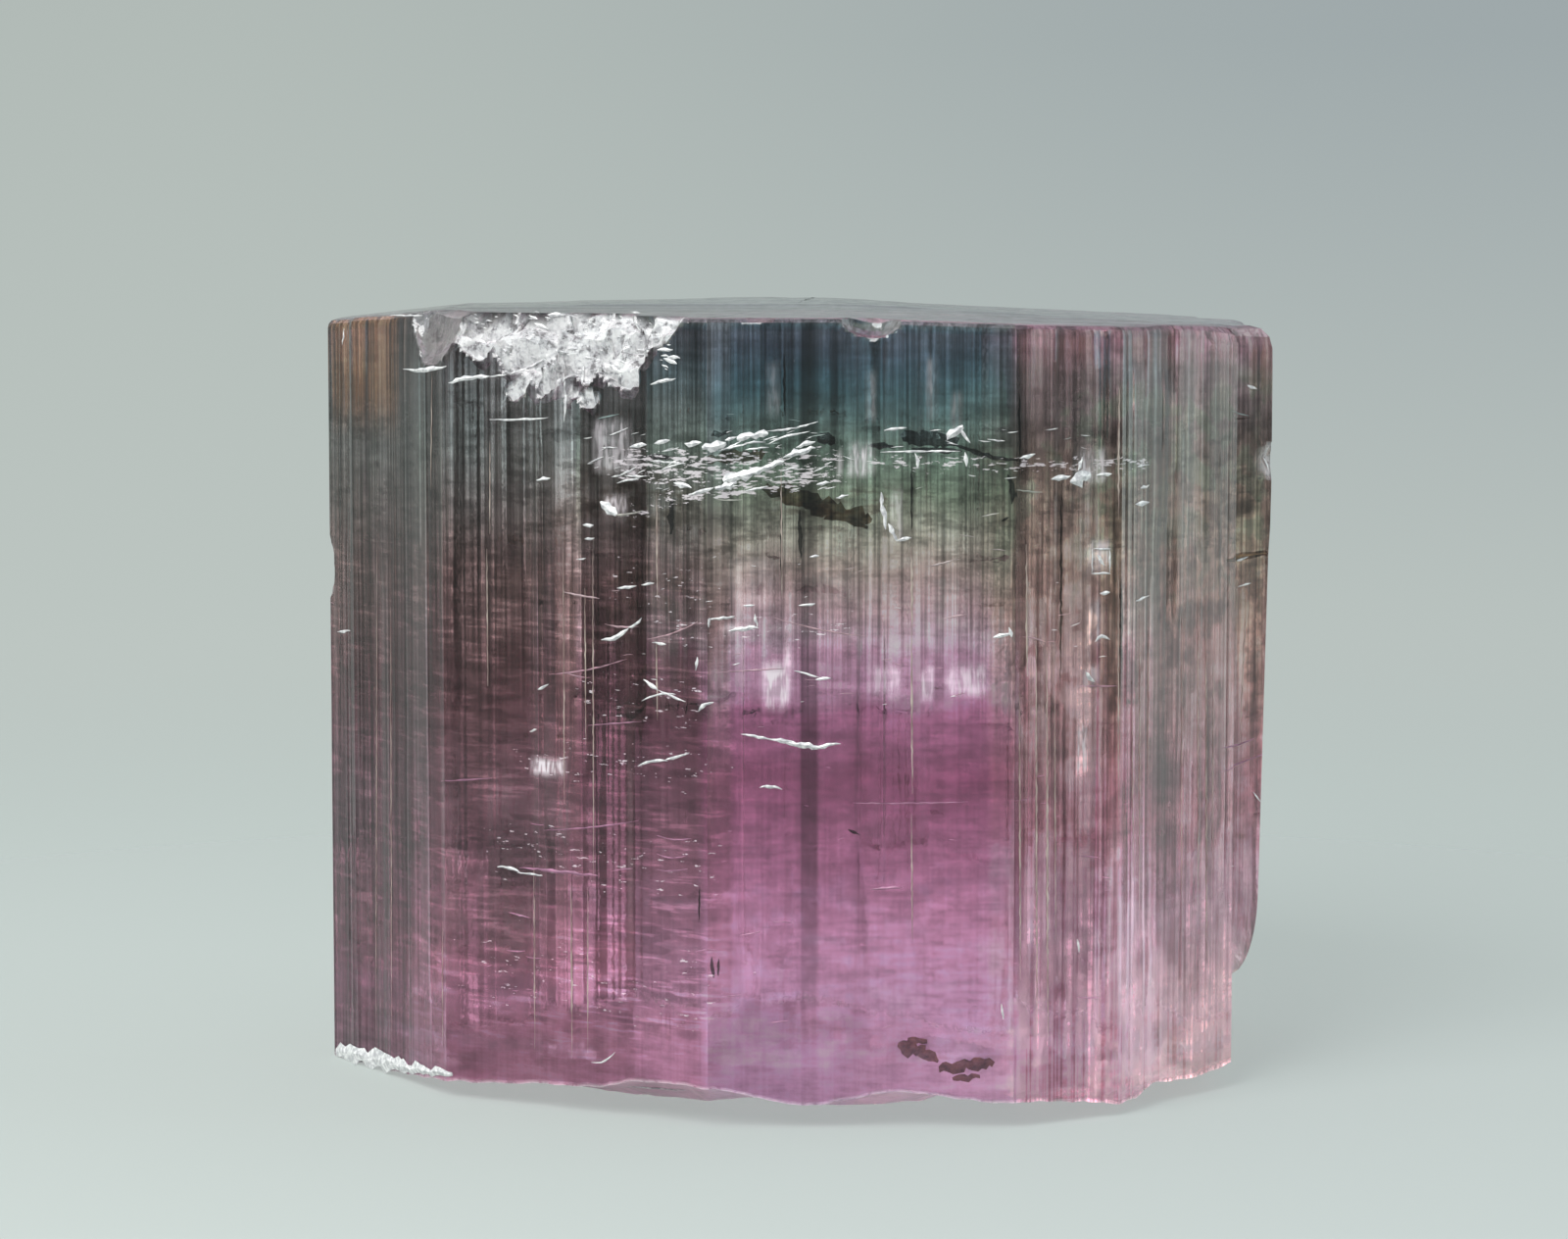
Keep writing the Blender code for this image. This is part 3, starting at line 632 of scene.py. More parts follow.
def chipped(places):
    """The places after every scoop has pushed back what it reaches, and how white each break is."""
    places = places.copy()
    white = np.zeros(places.shape[:-1])
    for scoop in SCOOPS:
        inward = -unit(scoop.direction)
        centre = np.array((scoop.x, scoop.y, scoop.z))
        away = places - centre
        along = (away[..., 1] * inward.x - away[..., 0] * inward.y) / scoop.along
        up = away[..., 2] / scoop.up
        into = (away[..., 0] * inward.x + away[..., 1] * inward.y) / scoop.into
        reach = np.sqrt(along**2 + up**2 + into**2)
        near = reach < SCOOP_NEAR
        reach[near] += scoop.rough * RAGGED * noise_at(places[near], RAGGED_SIZE)
        inside = (reach > SCOOP_CENTRE) & (reach < 1.0)
        pushed = centre + away[inside] / reach[inside][:, None]
        layered = pushed * BREAK_LAYERS
        grain = sum(noise_at(layered, size) / (1.0 + step) for step, size in enumerate(BREAK_GRAIN))
        shift = scoop.rough * grain * smooth_step(1.0 - reach[inside], 0.0, BREAK_BUILDS_OVER)
        pushed[:, 0] += inward.x * (shift + scoop.rough * BREAK_SET_BACK)
        pushed[:, 1] += inward.y * (shift + scoop.rough * BREAK_SET_BACK)
        places[inside] = pushed
        white[inside] = np.maximum(white[inside], scoop.white)
    return places, white


def surface_rings():
    """Every ring of the fine mesh, from round the base's middle to round the top's, as one array."""
    outline = broad_outline()
    columns = fine_columns(outline)
    low = rim_height(columns)
    radius = edge_radius(columns)
    rim = side_place(outline, columns, low)
    rings = []
    for scale in BASE_SCALES:
        x = rim[:, 0] * scale
        y = rim[:, 1] * scale
        near_rim = smooth_step(scale, 1.0 - RIM_FALLS_OVER, 1.0)
        rings.append(np.stack((x, y, low * near_rim + break_relief(x, y) * (1.0 - near_rim)), -1))
    high = top_height(rim[:, 0], rim[:, 1]) - radius
    for level in SIDE_LEVELS:
        rings.append(side_place(outline, columns, low + (high - low) * level))
    shoulder = rings[-1]
    inward = np.stack((-columns.normal_x, -columns.normal_y, np.zeros_like(radius)), -1)
    for angle in EDGE_ANGLES:
        inset = radius * (1.0 - math.cos(math.radians(angle)))
        rise = radius * math.sin(math.radians(angle))
        rings.append(shoulder + inward * inset[:, None] + rise[:, None] * np.array((0.0, 0.0, 1.0)))
    top_edge = rings[-1]
    for scale in TOP_SCALES:
        x = top_edge[:, 0] * scale
        y = top_edge[:, 1] * scale
        rings.append(np.stack((x, y, top_height(x, y)), -1))
    return np.array(rings)


def make_object(name, places, faces, material, smooth=True):
    """A mesh object from places in millimetres."""
    mesh = bpy.data.meshes.new(name)
    mesh.from_pydata((np.asarray(places) * MM).tolist(), [], faces)
    mesh.validate()
    mesh.materials.append(material)
    if smooth:
        mesh.shade_smooth()
        mesh.set_sharp_from_angle(angle=SHARP_ANGLE)
    made = bpy.data.objects.new(name, mesh)
    bpy.context.scene.collection.objects.link(made)
    return made


def spot_shown(places, spot, softness):
    """1 inside a spot of the front and 0 outside, with an edge that is wider for a larger softness."""
    across = np.abs(places[..., 0] - spot[0]) / spot[2]
    up = np.abs(places[..., 2] - spot[1]) / spot[3]
    inner = 1.0 - softness
    outer = 1.0 + softness
    return (1.0 - smooth_step(across, inner, outer)) * (1.0 - smooth_step(up, inner, outer))


def spotted(places, spots, softness):
    """How strong the strongest of several spots of the front is at each place."""
    strongest = np.zeros(places.shape[:-1])
    for spot in spots:
        strongest = np.maximum(strongest, spot_shown(places, spot, softness) * spot[4])
    return strongest * smooth_step(-places[..., 1], *FRONT_FROM_Y)


def light_and_tone_gain(places):
    """Brightness of the front's patches at each place: painted light and shade, with some own tone."""
    gain = np.ones(places.shape[:-1])
    for patch in PATCHES:
        gain *= 1.0 + spot_shown(places, patch, PATCH_SOFTNESS) * patch[4]
    front = smooth_step(-places[..., 1], *FRONT_FROM_Y)
    return 1.0 + (gain - 1.0) * front


def fleck_density(places):
    """How densely flecked each place is, where healed cracks reach the front."""
    dense = np.zeros(places.shape[:-1])
    x = places[..., 0]
    for height, slope, half_height, start, end, density in FLECK_BANDS:
        off = np.abs(places[..., 2] - height - slope * x)
        band = 1.0 - smooth_step(off, 0.3 * half_height, half_height)
        from_start = smooth_step(x, start - FLECK_END, start + FLECK_END)
        ends = from_start * (1.0 - smooth_step(x, end - FLECK_END, end + FLECK_END))
        dense = np.maximum(dense, band * ends * density)
    return dense * smooth_step(-places[..., 1], *FRONT_FROM_Y)


def crystal_body(material):
    """The crystal's outer surface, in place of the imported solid."""
    rings, white = chipped(surface_rings())
    ring_count, count = white.shape
    from_rim = np.abs(np.arange(ring_count) - len(BASE_SCALES))
    broken = np.maximum(white, (RIM_WHITE * (from_rim < 1))[:, None])
    places = np.concatenate((rings.reshape(-1, 3), ((0.0, 0.0, 0.0), (0.0, 0.0, HEIGHT))))
    faces = []
    for ring in range(ring_count - 1):
        lower = ring * count
        upper = lower + count
        for i in range(count):
            j = (i + 1) % count
            faces.append((lower + i, lower + j, upper + j, upper + i))
    base_middle = ring_count * count
    last = base_middle - count
    faces.extend((base_middle, (i + 1) % count, i) for i in range(count))
    faces.extend((base_middle + 1, last + i, last + (i + 1) % count) for i in range(count))
    body = make_object("crystal_body", places, faces, material)
    frost = np.zeros_like(broken)
    frost[: len(BASE_SCALES)] = 1.0
    marked = {
        "broken": broken,
        "frost": frost,
        "milky": spotted(rings, MILKY_SPOTS, MILKY_SOFTNESS),
        "brown": spotted(rings, BROWN_SPOTS, PATCH_SOFTNESS),
        "patch": light_and_tone_gain(rings),
        "flecked": fleck_density(rings),
    }
    for name, values in marked.items():
        attribute = body.data.attributes.new(name, "FLOAT", "POINT")
        attribute.data.foreach_set("value", np.append(values.reshape(-1), (values[0, 0], values[-1, 0])))
    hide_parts("crystal")
    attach(body, "root")
    return BVHTree.FromPolygons(places.tolist(), faces)


def face_normal(place):
    """Outward normal of the prism face that a place on the side lies on."""
    best = max(PRISM_FACES, key=lambda face: place.xy.dot(unit(face.direction)) - face.distance)
    return unit(best.direction).to_3d()


def seen(surface, across, down, depth, turn):
    """The place that shows at a pixel, so deep in the crystal, or proud of it if depth is negative.

    turn walks the camera round the crystal, in degrees. Gives the face's normal too, or None
    where the pixel misses the crystal.
    """
    around = Matrix.Rotation(math.radians(turn), 3, "Z")
    pitched = Matrix.Rotation(math.radians(-CAMERA_PITCH), 3, "X")
    sight = pitched @ Vector((across - PICTURE_MIDDLE[0], FOCAL, PICTURE_MIDDLE[1] - down))
    sight = (around @ sight).normalized()
    hit = surface.ray_cast(around @ Vector(CAMERA_PLACE), sight)[0]
    if hit is None:
        return None
    normal = face_normal(hit)
    if depth < 0.0:
        return hit - normal * depth, normal
    slant = -normal.dot(sight)
    bent = sight / IOR + normal * (slant / IOR - math.sqrt(1.0 - (1.0 - slant**2) / IOR**2))
    return hit + bent * depth, normal


def ragged(where):
    """How far a ribbon's edge strays, as a share of its half width."""
    coarse = 0.7 * noise.noise((where, 0.0, 0.0))
    fine = 0.5 * noise.noise((2.7 * where, 9.5, 0.0))
    return max(RAGGED_LEAST, 0.85 + coarse + fine)


def ribbon(places, out, width, thickness, dice):
    """Corners and faces of a closed, ragged ribbon along places, widest at its middle."""
    last = len(places) - 1
    start = dice.uniform(0.0, 90.0)
    power = POINTED if width < BLUNT_WIDTH else BLUNT
    corners = []
    for i, place in enumerate(places):
        swell = 0.5 * (RIBBON_END + math.sin(math.pi * i / last)) ** power
        along = (places[min(i + 1, last)] - places[max(i - 1, 0)]).normalized()
        side = along.cross(out).normalized() * width * swell
        up = out * thickness * swell
        left = side * ragged(start + 0.5 * i)
        right = side * ragged(start - 0.5 * i)
        corners += [place + left, place + up, place - right, place - up]
    faces = [(0, 1, 2, 3), tuple(4 * last + k for k in (3, 2, 1, 0))]
    for i in range(last):
        faces += [(4 * i + (k + 1) % 4, 4 * i + k, 4 * i + 4 + k, 4 * i + 4 + (k + 1) % 4) for k in range(4)]
    return corners, faces


def mark_ribbon(surface, mark, depth, turn, dice):
    """The ribbon of one mark, and its face's normal, or None where the mark leaves the crystal."""
    length = math.hypot(mark.end_x - mark.start_x, mark.end_y - mark.start_y)
    stations = 2 + max(2, round(length / STATION_GAP))
    cross_x = (mark.end_y - mark.start_y) / length
    cross_y = (mark.start_x - mark.end_x) / length
    found = []
    for i in range(stations):
        share = i / (stations - 1)
        off = mark.bow * 4.0 * share * (1.0 - share) + dice.uniform(-MARK_WAVER, MARK_WAVER) * mark.width
        across = mark.start_x + (mark.end_x - mark.start_x) * share + cross_x * off
        down = mark.start_y + (mark.end_y - mark.start_y) * share + cross_y * off
        found.append(seen(surface, across, down, depth, turn))
    if any(station is None for station in found):
        return None
    places = [place for place, _ in found]
    out = sum((normal for _, normal in found), Vector((0.0, 0.0, 0.0))).normalized()
    width = mark.width * PIXEL * MARK_SLIMMING
    thickness = min(MARK_THICKNESS[1], MARK_THICKNESS[0] * width)
    return ribbon(places, out, width, thickness, dice) + (out,)


def scattered(dice, box, count, length, width, tilt):
    """Random marks in a box of pixels (left, top, right, bottom), so many degrees off the level.

    Most are small and a few are large, as the cracks of a crystal are.
    """
    marks = []
    for _ in range(count):
        x = dice.uniform(box[0], box[2])
        y = dice.uniform(box[1], box[3])
        size = SMALL_MARK + LARGE_MARK * dice.random() ** 3
        reach = 0.5 * length * size
        angle = math.radians(tilt + dice.uniform(-MARK_TURN, MARK_TURN))
        step_x = reach * math.cos(angle)
        step_y = reach * math.sin(angle)
        bow = dice.uniform(-MARK_BOW, MARK_BOW) * reach
        marks.append(Mark(x - step_x, y - step_y, x + step_x, y + step_y, width * size, bow))
    return marks


def crack_marks(dice, count, length, width):
    """Random marks along the cracks that run right round the crystal."""
    marks = []
    left, right = SIDE_SPAN
    for row in CRACK_ROWS:
        band = (left, row - CRACK_SPREAD, right, row + CRACK_SPREAD)
        marks += scattered(dice, band, count, length, width, 0.0)
    return marks


def upright_marks(dice, count, top, bottom, length, width):
    """Random upright marks, leaning far less than scattered ones."""
    marks = []
    for _ in range(count):
        x = dice.uniform(*SIDE_SPAN)
        y = dice.uniform(top, bottom)
        reach = 0.5 * length * dice.uniform(0.4, 1.3)
        lean = dice.uniform(-1.0, 1.0)
        marks.append(Mark(x, y - reach, x + lean, y + reach, width * dice.uniform(0.7, 1.3)))
    return marks


def flakes(name, material, surface, seed, depths, front_marks, side_marks):
    """One piece made of ribbons: the marks of the photographed side, then random ones all round."""
    dice = random.Random(seed)
    groups = [(0.0, [Mark(*row) for row in front_marks])]
    groups += [(turn, side_marks(dice)) for turn in OTHER_SIDES]
    places = []
    faces = []
    for turn, marks in groups:
        for mark in marks:
            made = mark_ribbon(surface, mark, dice.uniform(*depths), turn, dice)
            if made is not None and (turn == 0.0 or made[2].y > SIDE_FACES_Y):
                faces += [tuple(len(places) + index for index in face) for face in made[1]]
                places += made[0]
    piece = make_object(name, [tuple(place) for place in places], faces, material, smooth=False)
    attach(piece, "root")


def random_rows(dice, groups):
    """Random marks of several groups, each a box, count, length, width and tilt, as plain rows."""
    return tuple(tuple(mark) for group in groups for mark in scattered(dice, *group))


def inner_flakes(surface):
    """Everything that shows inside the crystal or at its surface, with painted glints and painted shade."""
    dice = random.Random(SPARKLE_SEED)
    sparkles = random_rows(dice, SPARKLES)
    # White flakes that paint the cracks' glints and show the white of breaks
    glint = plain_material("glint", *GLINT_LOOK)
    flakes(
        "fracture_glints", glint, surface, GLINT_SEED, (GLINT_PROUD, GLINT_PROUD), GLINTS + sparkles,
        lambda dice: crack_marks(dice, *GLINTS_ROUND),
    )  # fmt: skip
    wisps = random_rows(dice, WISP_CLOUDS)
    flakes(
        "veils", veil_material(), surface, VEIL_SEED, (WISP_PROUD, WISP_PROUD), WISPS + wisps,
        lambda dice: crack_marks(dice, *VEILS_ROUND),
    )  # fmt: skip
    tube = plain_material("tube", *TUBE_LOOK)
    flakes(
        "growth_tubes", tube, surface, TUBE_SEED, (TUBE_PROUD, TUBE_PROUD), TUBES,
        lambda dice: upright_marks(dice, *TUBES_ROUND),
    )  # fmt: skip
    # Near-black flakes in painted shade, for voids and dark lines
    painted_shade_black = plain_material("painted_shade_black", *VOID_LOOK)
    flakes(
        "voids_and_lines_in_painted_shade", painted_shade_black, surface, VOID_SEED, VOID_DEPTHS, VOIDS + PAINTED_SHADE_LINES,
        lambda dice: crack_marks(dice, *VOIDS_ROUND),
    )  # fmt: skip
    rust = plain_material("rust", *RUST_LOOK)
    flakes(
        "rust_stains", rust, surface, RUST_SEED, RUST_DEPTHS, RUST,
        lambda dice: crack_marks(dice, *RUST_ROUND),
    )  # fmt: skip


def linear(red, green, blue):
    """A colour given as 0 to 255 screen values, as scene light values."""
    def channel(value):
        share = value / 255.0
        return share / 12.92 if share <= 0.04045 else ((share + 0.055) / 1.055) ** 2.4

    return (channel(red), channel(green), channel(blue), 1.0)


def put(tree, kind, inputs=None, **settings):
    """Adds a node. Each input is a value to set, or a socket to link from."""
    made = tree.nodes.new(kind)
    for name, value in settings.items():
        setattr(made, name, value)
    for name, value in (inputs or {}).items():
        if isinstance(value, bpy.types.NodeSocket):
            tree.links.new(value, made.inputs[name])
        else:
            made.inputs[name].default_value = value
    return made


def ramp(tree, factor, stops):
    """A colour ramp from (position, colour) stops."""
    made = put(tree, "ShaderNodeValToRGB", {"Fac": factor})
    elements = made.color_ramp.elements
    while len(elements) < len(stops):
        elements.new(0.5)
    for element, (position, colour) in zip(elements, stops):
        element.position = position
        element.color = colour
    return made.outputs["Color"]


def between(tree, value, low, high, to_low=0.0, to_high=1.0):
    """Maps value from low..high to to_low..to_high, smoothly and clamped."""
    made = put(
        tree,
        "ShaderNodeMapRange",
        {"Value": value, "From Min": low, "From Max": high, "To Min": to_low, "To Max": to_high},
        interpolation_type="SMOOTHSTEP",
    )
    return made.outputs["Result"]


def math_of(tree, operation, first, second=0.0):
    """A Math node's result."""
    return put(tree, "ShaderNodeMath", {0: first, 1: second}, operation=operation).outputs[0]


def times(tree, *values):
    """The product of several numbers."""
    product = values[0]
    for value in values[1:]:
        product = math_of(tree, "MULTIPLY", product, value)
    return product


def mixed(tree, factor, first, second, blend="MIX"):
    """A colour mix."""
    made = put(tree, "ShaderNodeMix", data_type="RGBA", blend_type=blend, clamp_factor=True)
    for index, value in ((0, factor), (6, first), (7, second)):
        if isinstance(value, bpy.types.NodeSocket):
            tree.links.new(value, made.inputs[index])
        else:
            made.inputs[index].default_value = value
    return made.outputs[2]


def grain(tree, millimetres, scale, stretch=(1.0, 1.0, 1.0), detail=2.0, roughness=0.5):
    """Noise of so many cells for each millimetre, stretched along an axis by a small number."""
    mapped = put(tree, "ShaderNodeMapping", {"Vector": millimetres, "Scale": stretch})
    made = put(
        tree,
        "ShaderNodeTexNoise",
        {"Vector": mapped.outputs["Vector"], "Scale": scale, "Detail": detail, "Roughness": roughness},
    )
    return made.outputs["Fac"]


def attribute(tree, name):
    """One of the fine mesh's own values."""
    return put(tree, "ShaderNodeAttribute", attribute_name=name).outputs["Fac"]


def start_material(name):
    """A new material, its node tree, its shader, and object coordinates in millimetres."""
    material = bpy.data.materials.new(name)
    material.use_nodes = True
    tree = material.node_tree
    place = put(tree, "ShaderNodeTexCoord").outputs["Object"]
    millimetres = put(tree, "ShaderNodeMapping", {"Vector": place, "Scale": (1000.0,) * 3}).outputs["Vector"]
    return material, tree, tree.nodes["Principled BSDF"], millimetres


def plain_material(name, dark, light, scale, roughness):
    """An opaque, mottled finish between two colours, with so many specks for each millimetre."""
    material, tree, shader, millimetres = start_material(name)
    specks = grain(tree, millimetres, scale, detail=3.0)
    colour = ramp(tree, specks, ((0.35, dark + (1.0,)), (0.65, light + (1.0,))))
    tree.links.new(colour, shader.inputs["Base Color"])
    rough = between(tree, specks, 0.3, 0.7, roughness * 1.3, roughness * 0.7)
    tree.links.new(rough, shader.inputs["Roughness"])
    return material


def veil_material():
    """Healed cracks: a paler shade of the colour zone that they lie in."""
    material, tree, shader, millimetres = start_material("veil")
    height = put(tree, "ShaderNodeSeparateXYZ", {"Vector": millimetres}).outputs["Z"]
    share = math_of(tree, "DIVIDE", height, HEIGHT)
    colour = ramp(tree, share, [(level / HEIGHT, linear(*shade)) for level, shade in VEIL_ZONES])
    specks = grain(tree, millimetres, 4.0, detail=3.0)
    colour = mixed(tree, 1.0, colour, between(tree, specks, 0.3, 0.7, 0.75, 1.5), "MULTIPLY")
    tree.links.new(colour, shader.inputs["Base Color"])
    shader.inputs["Roughness"].default_value = 0.4
    return material


def zone_ramp(tree, height_share, zones):
    """The colours of one column of zones."""
    stops = []
    for height, colour in zones:
        light = [min(1.0, value / BACKDROP_SHARE) for value in linear(*colour)]
        stops.append((height / HEIGHT, light))
    return ramp(tree, height_share, stops)


def zoned_colour(tree, axes, waver, blocks):
    """Pink at the base, then green and dark blue, with other tints to the left and the right."""
    height = math_of(tree, "ADD", axes["Z"], times(tree, math_of(tree, "SUBTRACT", waver, 0.5), 1.6))
    height_share = math_of(tree, "DIVIDE", height, HEIGHT)
    left = between(tree, axes["X"], -1.9, -2.5)
    right = between(tree, axes["X"], 4.9, 5.4)
    colour = zone_ramp(tree, height_share, CENTRE_ZONES)
    colour = mixed(tree, left, colour, zone_ramp(tree, height_share, LEFT_ZONES))
    colour = mixed(tree, right, colour, zone_ramp(tree, height_share, RIGHT_ZONES))
    upper = times(tree, right, between(tree, axes["Z"], 10.5, 13.0), between(tree, axes["Z"], 18.3, 17.2))
    colour = mixed(tree, times(tree, upper, between(tree, blocks, 0.50, 0.56), 0.75), colour, GREEN_BLOCKS)
    browner = times(tree, right, between(tree, axes["Z"], 7.0, 10.0), between(tree, axes["Z"], 17.5, 16.0))
    return mixed(tree, times(tree, browner, between(tree, blocks, 0.46, 0.40), 0.7), colour, BROWN_BLOCKS)


def band_gain(tree, along, bands):
    """Brightness of the upright bands along X, partly painted light and shade."""
    first = bands[0][0]
    span = bands[-1][0] - first
    share = put(tree, "ShaderNodeMapRange", {"Value": along, "From Min": first, "From Max": first + span})
    stops = [((x - first) / span, (gain * 0.5,) * 3 + (1.0,)) for x, gain in bands]
    return ramp(tree, share.outputs["Result"], stops)


def upright_gain(tree, millimetres, axes, streaks):
    """Brightness of what runs up the crystal: front bands, partly painted light and shade, and finer streaks.
    """
    front = between(tree, axes["Y"], 3.0, -2.0)
    bands = times(tree, band_gain(tree, axes["X"], LEFT_BANDS), band_gain(tree, axes["X"], RIGHT_BANDS), 4.0)
    fade = times(tree, front, between(tree, axes["Z"], 1.0, 9.0, 0.35, 1.0))
    bands = math_of(tree, "ADD", times(tree, math_of(tree, "SUBTRACT", bands, 1.0), fade), 1.0)
    bands = math_of(tree, "POWER", bands, 2.0)  # a surface tints by the square root of its colour
    # Painted shade: the far-left face made darker, most of all low down
    painted_shade_strip = times(tree, between(tree, axes["X"], -9.4, -10.2), between(tree, axes["Z"], 11.0, 4.0))
    shade = math_of(tree, "SUBTRACT", 1.0, times(tree, painted_shade_strip, 0.75))
    hairs = grain(tree, millimetres, 11.0, (1.0, 1.0, 0.012), 1.0, 0.7)
    fine = times(
        tree,
        between(tree, streaks, 0.3, 0.7, 0.45, 1.55),
        between(tree, hairs, 0.32, 0.68, 0.35, 1.65),
    )
    calm = times(
        tree,
        between(tree, axes["Z"], 12.5, 9.0),
        between(tree, axes["X"], -9.8, -9.0),
        between(tree, axes["X"], 5.4, 4.8),
        0.85,
    )
    change = times(tree, math_of(tree, "SUBTRACT", fine, 1.0), math_of(tree, "SUBTRACT", 1.0, calm))
    fine = math_of(tree, "ADD", 1.0, change)
    return times(tree, bands, shade, fine)


def cloud_gain(tree, millimetres, axes, blocks, lumps):
    """Brightness of what runs across the crystal: cracked, mottled levels and thin wisps."""
    mottle = grain(tree, millimetres, 1.4, (1.0, 1.0, 1.6), 3.0, 0.7)
    wisps = grain(tree, millimetres, 1.3, (0.6, 0.6, 5.5), 2.0, 0.6)
    cracked = times(tree, between(tree, axes["Z"], 11.0, 14.5), between(tree, axes["Z"], 17.4, 16.2))
    soft = grain(tree, millimetres, 1.0, (0.6, 0.6, 3.1), 2.0, 0.6)
    dark = math_of(tree, "SUBTRACT", 1.0, times(tree, cracked, between(tree, lumps, 0.48, 0.62), 0.6))
    left = between(tree, axes["X"], -1.5, -2.5)
    healed = times(tree, left, between(tree, axes["Z"], 0.5, 3.0), between(tree, axes["Z"], 15.0, 12.0))
    patchy = math_of(tree, "SUBTRACT", 1.0, times(tree, healed, between(tree, soft, 0.5, 0.6), 0.55))
    bright = math_of(tree, "ADD", 1.0, times(tree, healed, between(tree, wisps, 0.54, 0.66), 1.3))
    right = between(tree, axes["X"], 4.9, 5.4)
    blocky = math_of(tree, "ADD", 1.0, times(tree, right, between(tree, blocks, 0.42, 0.58, -0.35, 0.45)))
    # Painted light: the right zone made brighter lower down
    lower = math_of(tree, "ADD", 1.0, times(tree, right, between(tree, axes["Z"], 12.0, 9.0, 0.05, 0.5)))
    return times(
        tree,
        between(tree, mottle, 0.3, 0.7, 0.72, 1.25),
        between(tree, wisps, 0.35, 0.65, 0.85, 1.15),
        between(tree, soft, 0.35, 0.65, 0.82, 1.18),
        dark,
        patchy,
        bright,
        blocky,
        lower,
    )


def stained(tree, axes, streaks, lumps, colour):
    """Adds the orange stain under the left end of the top, the brown ones and the peach foot."""
    orange = times(
        tree,
        between(tree, axes["X"], -9.4, -10.2),
        between(tree, axes["Z"], 15.8, 17.4),
        between(tree, streaks, 0.40, 0.52),
    )
    colour = mixed(tree, times(tree, orange, 0.95), colour, ORANGE_STAIN)
    brown = times(tree, attribute(tree, "brown"), between(tree, lumps, 0.42, 0.58))
    colour = mixed(tree, brown, colour, BROWN_STAIN)
    peach = times(tree, between(tree, axes["X"], 7.4, 9.6), between(tree, axes["Z"], 5.5, 2.0))
    return mixed(tree, times(tree, peach, 0.6), colour, PEACH_STAIN)


def top_colour(tree, axes, waver, lumps):
    """Three-sided zones of the top face, one inside the other."""
    reach = -TOP_REACH
    for direction in LEDGE_DIRECTIONS:
        normal = unit(direction)
        away_x = math_of(tree, "SUBTRACT", axes["X"], LEDGE_CENTRE[0])
        away_y = math_of(tree, "SUBTRACT", axes["Y"], LEDGE_CENTRE[1])
        along = math_of(tree, "ADD", times(tree, away_x, normal.x), times(tree, away_y, normal.y))
        reach = math_of(tree, "MAXIMUM", along, reach)
    reach = math_of(tree, "ADD", reach, times(tree, math_of(tree, "SUBTRACT", waver, 0.5), 3.0))
    share = math_of(tree, "DIVIDE", reach, TOP_REACH)
    zones = [(away / TOP_REACH, linear(*colour)) for away, colour in TOP_ZONES]
    return mixed(tree, 1.0, ramp(tree, share, zones), between(tree, lumps, 0.3, 0.7, 0.7, 1.5), "MULTIPLY")


def clear_colour(tree, millimetres, axes, streaks):
    """Colour of the unbroken crystal: zones, streaks, clouds, stains, painted light and shade, the top's own
    zones.
    """
    waver = grain(tree, millimetres, 0.55, (1.0, 1.0, 0.4), 2.0)
    blocks = grain(tree, millimetres, 0.9, (1.0, 1.0, 0.9), 3.0, 0.6)
    lumps = grain(tree, millimetres, 1.2, (0.8, 0.8, 2.2), 3.0, 0.7)
    # Painted light and shade come in with the bands, the far-left shade, the patches and the lower right
    gain = times(
        tree,
        upright_gain(tree, millimetres, axes, streaks),
        cloud_gain(tree, millimetres, axes, blocks, lumps),
        attribute(tree, "patch"),
    )
    colour = stained(tree, axes, streaks, lumps, zoned_colour(tree, axes, waver, blocks))
    colour = mixed(tree, 1.0, colour, gain, "MULTIPLY")
    normal = put(tree, "ShaderNodeNewGeometry").outputs["Normal"]
    upward = put(tree, "ShaderNodeSeparateXYZ", {"Vector": normal}).outputs["Z"]
    on_top = times(tree, between(tree, upward, 0.75, 0.95), between(tree, axes["Z"], 17.5, 18.2))
    return mixed(tree, on_top, colour, top_colour(tree, axes, waver, lumps))


def milkiness(tree, millimetres):
    """How milky each place is: the front's pale spots, and flecks along its healed cracks."""
    fibres = grain(tree, millimetres, 9.0, (1.0, 1.0, 0.2), 1.0, 0.7)
    spots = times(tree, attribute(tree, "milky"), between(tree, fibres, 0.38, 0.60, 0.45, 1.0))
    specks = grain(tree, millimetres, 4.5, (0.6, 0.6, 2.5), 3.0, 0.7)
    raised = math_of(tree, "SUBTRACT", attribute(tree, "flecked"), 1.0)
    flecks = between(tree, math_of(tree, "ADD", specks, times(tree, raised, 0.25)), 0.51, 0.56)
    return math_of(tree, "MAXIMUM", spots, times(tree, flecks, 0.85))


def surface_bump(tree, millimetres, broken):
    """Fine relief of the surface, far rougher where it is broken."""
    rubble = grain(tree, millimetres, 6.0, detail=1.0, roughness=0.7)
    relief = times(tree, rubble, math_of(tree, "ADD", times(tree, broken, 9.0), 0.4))
    bump = put(tree, "ShaderNodeBump", {"Height": relief, "Strength": 0.25, "Distance": 0.00002})
    return bump.outputs["Normal"]


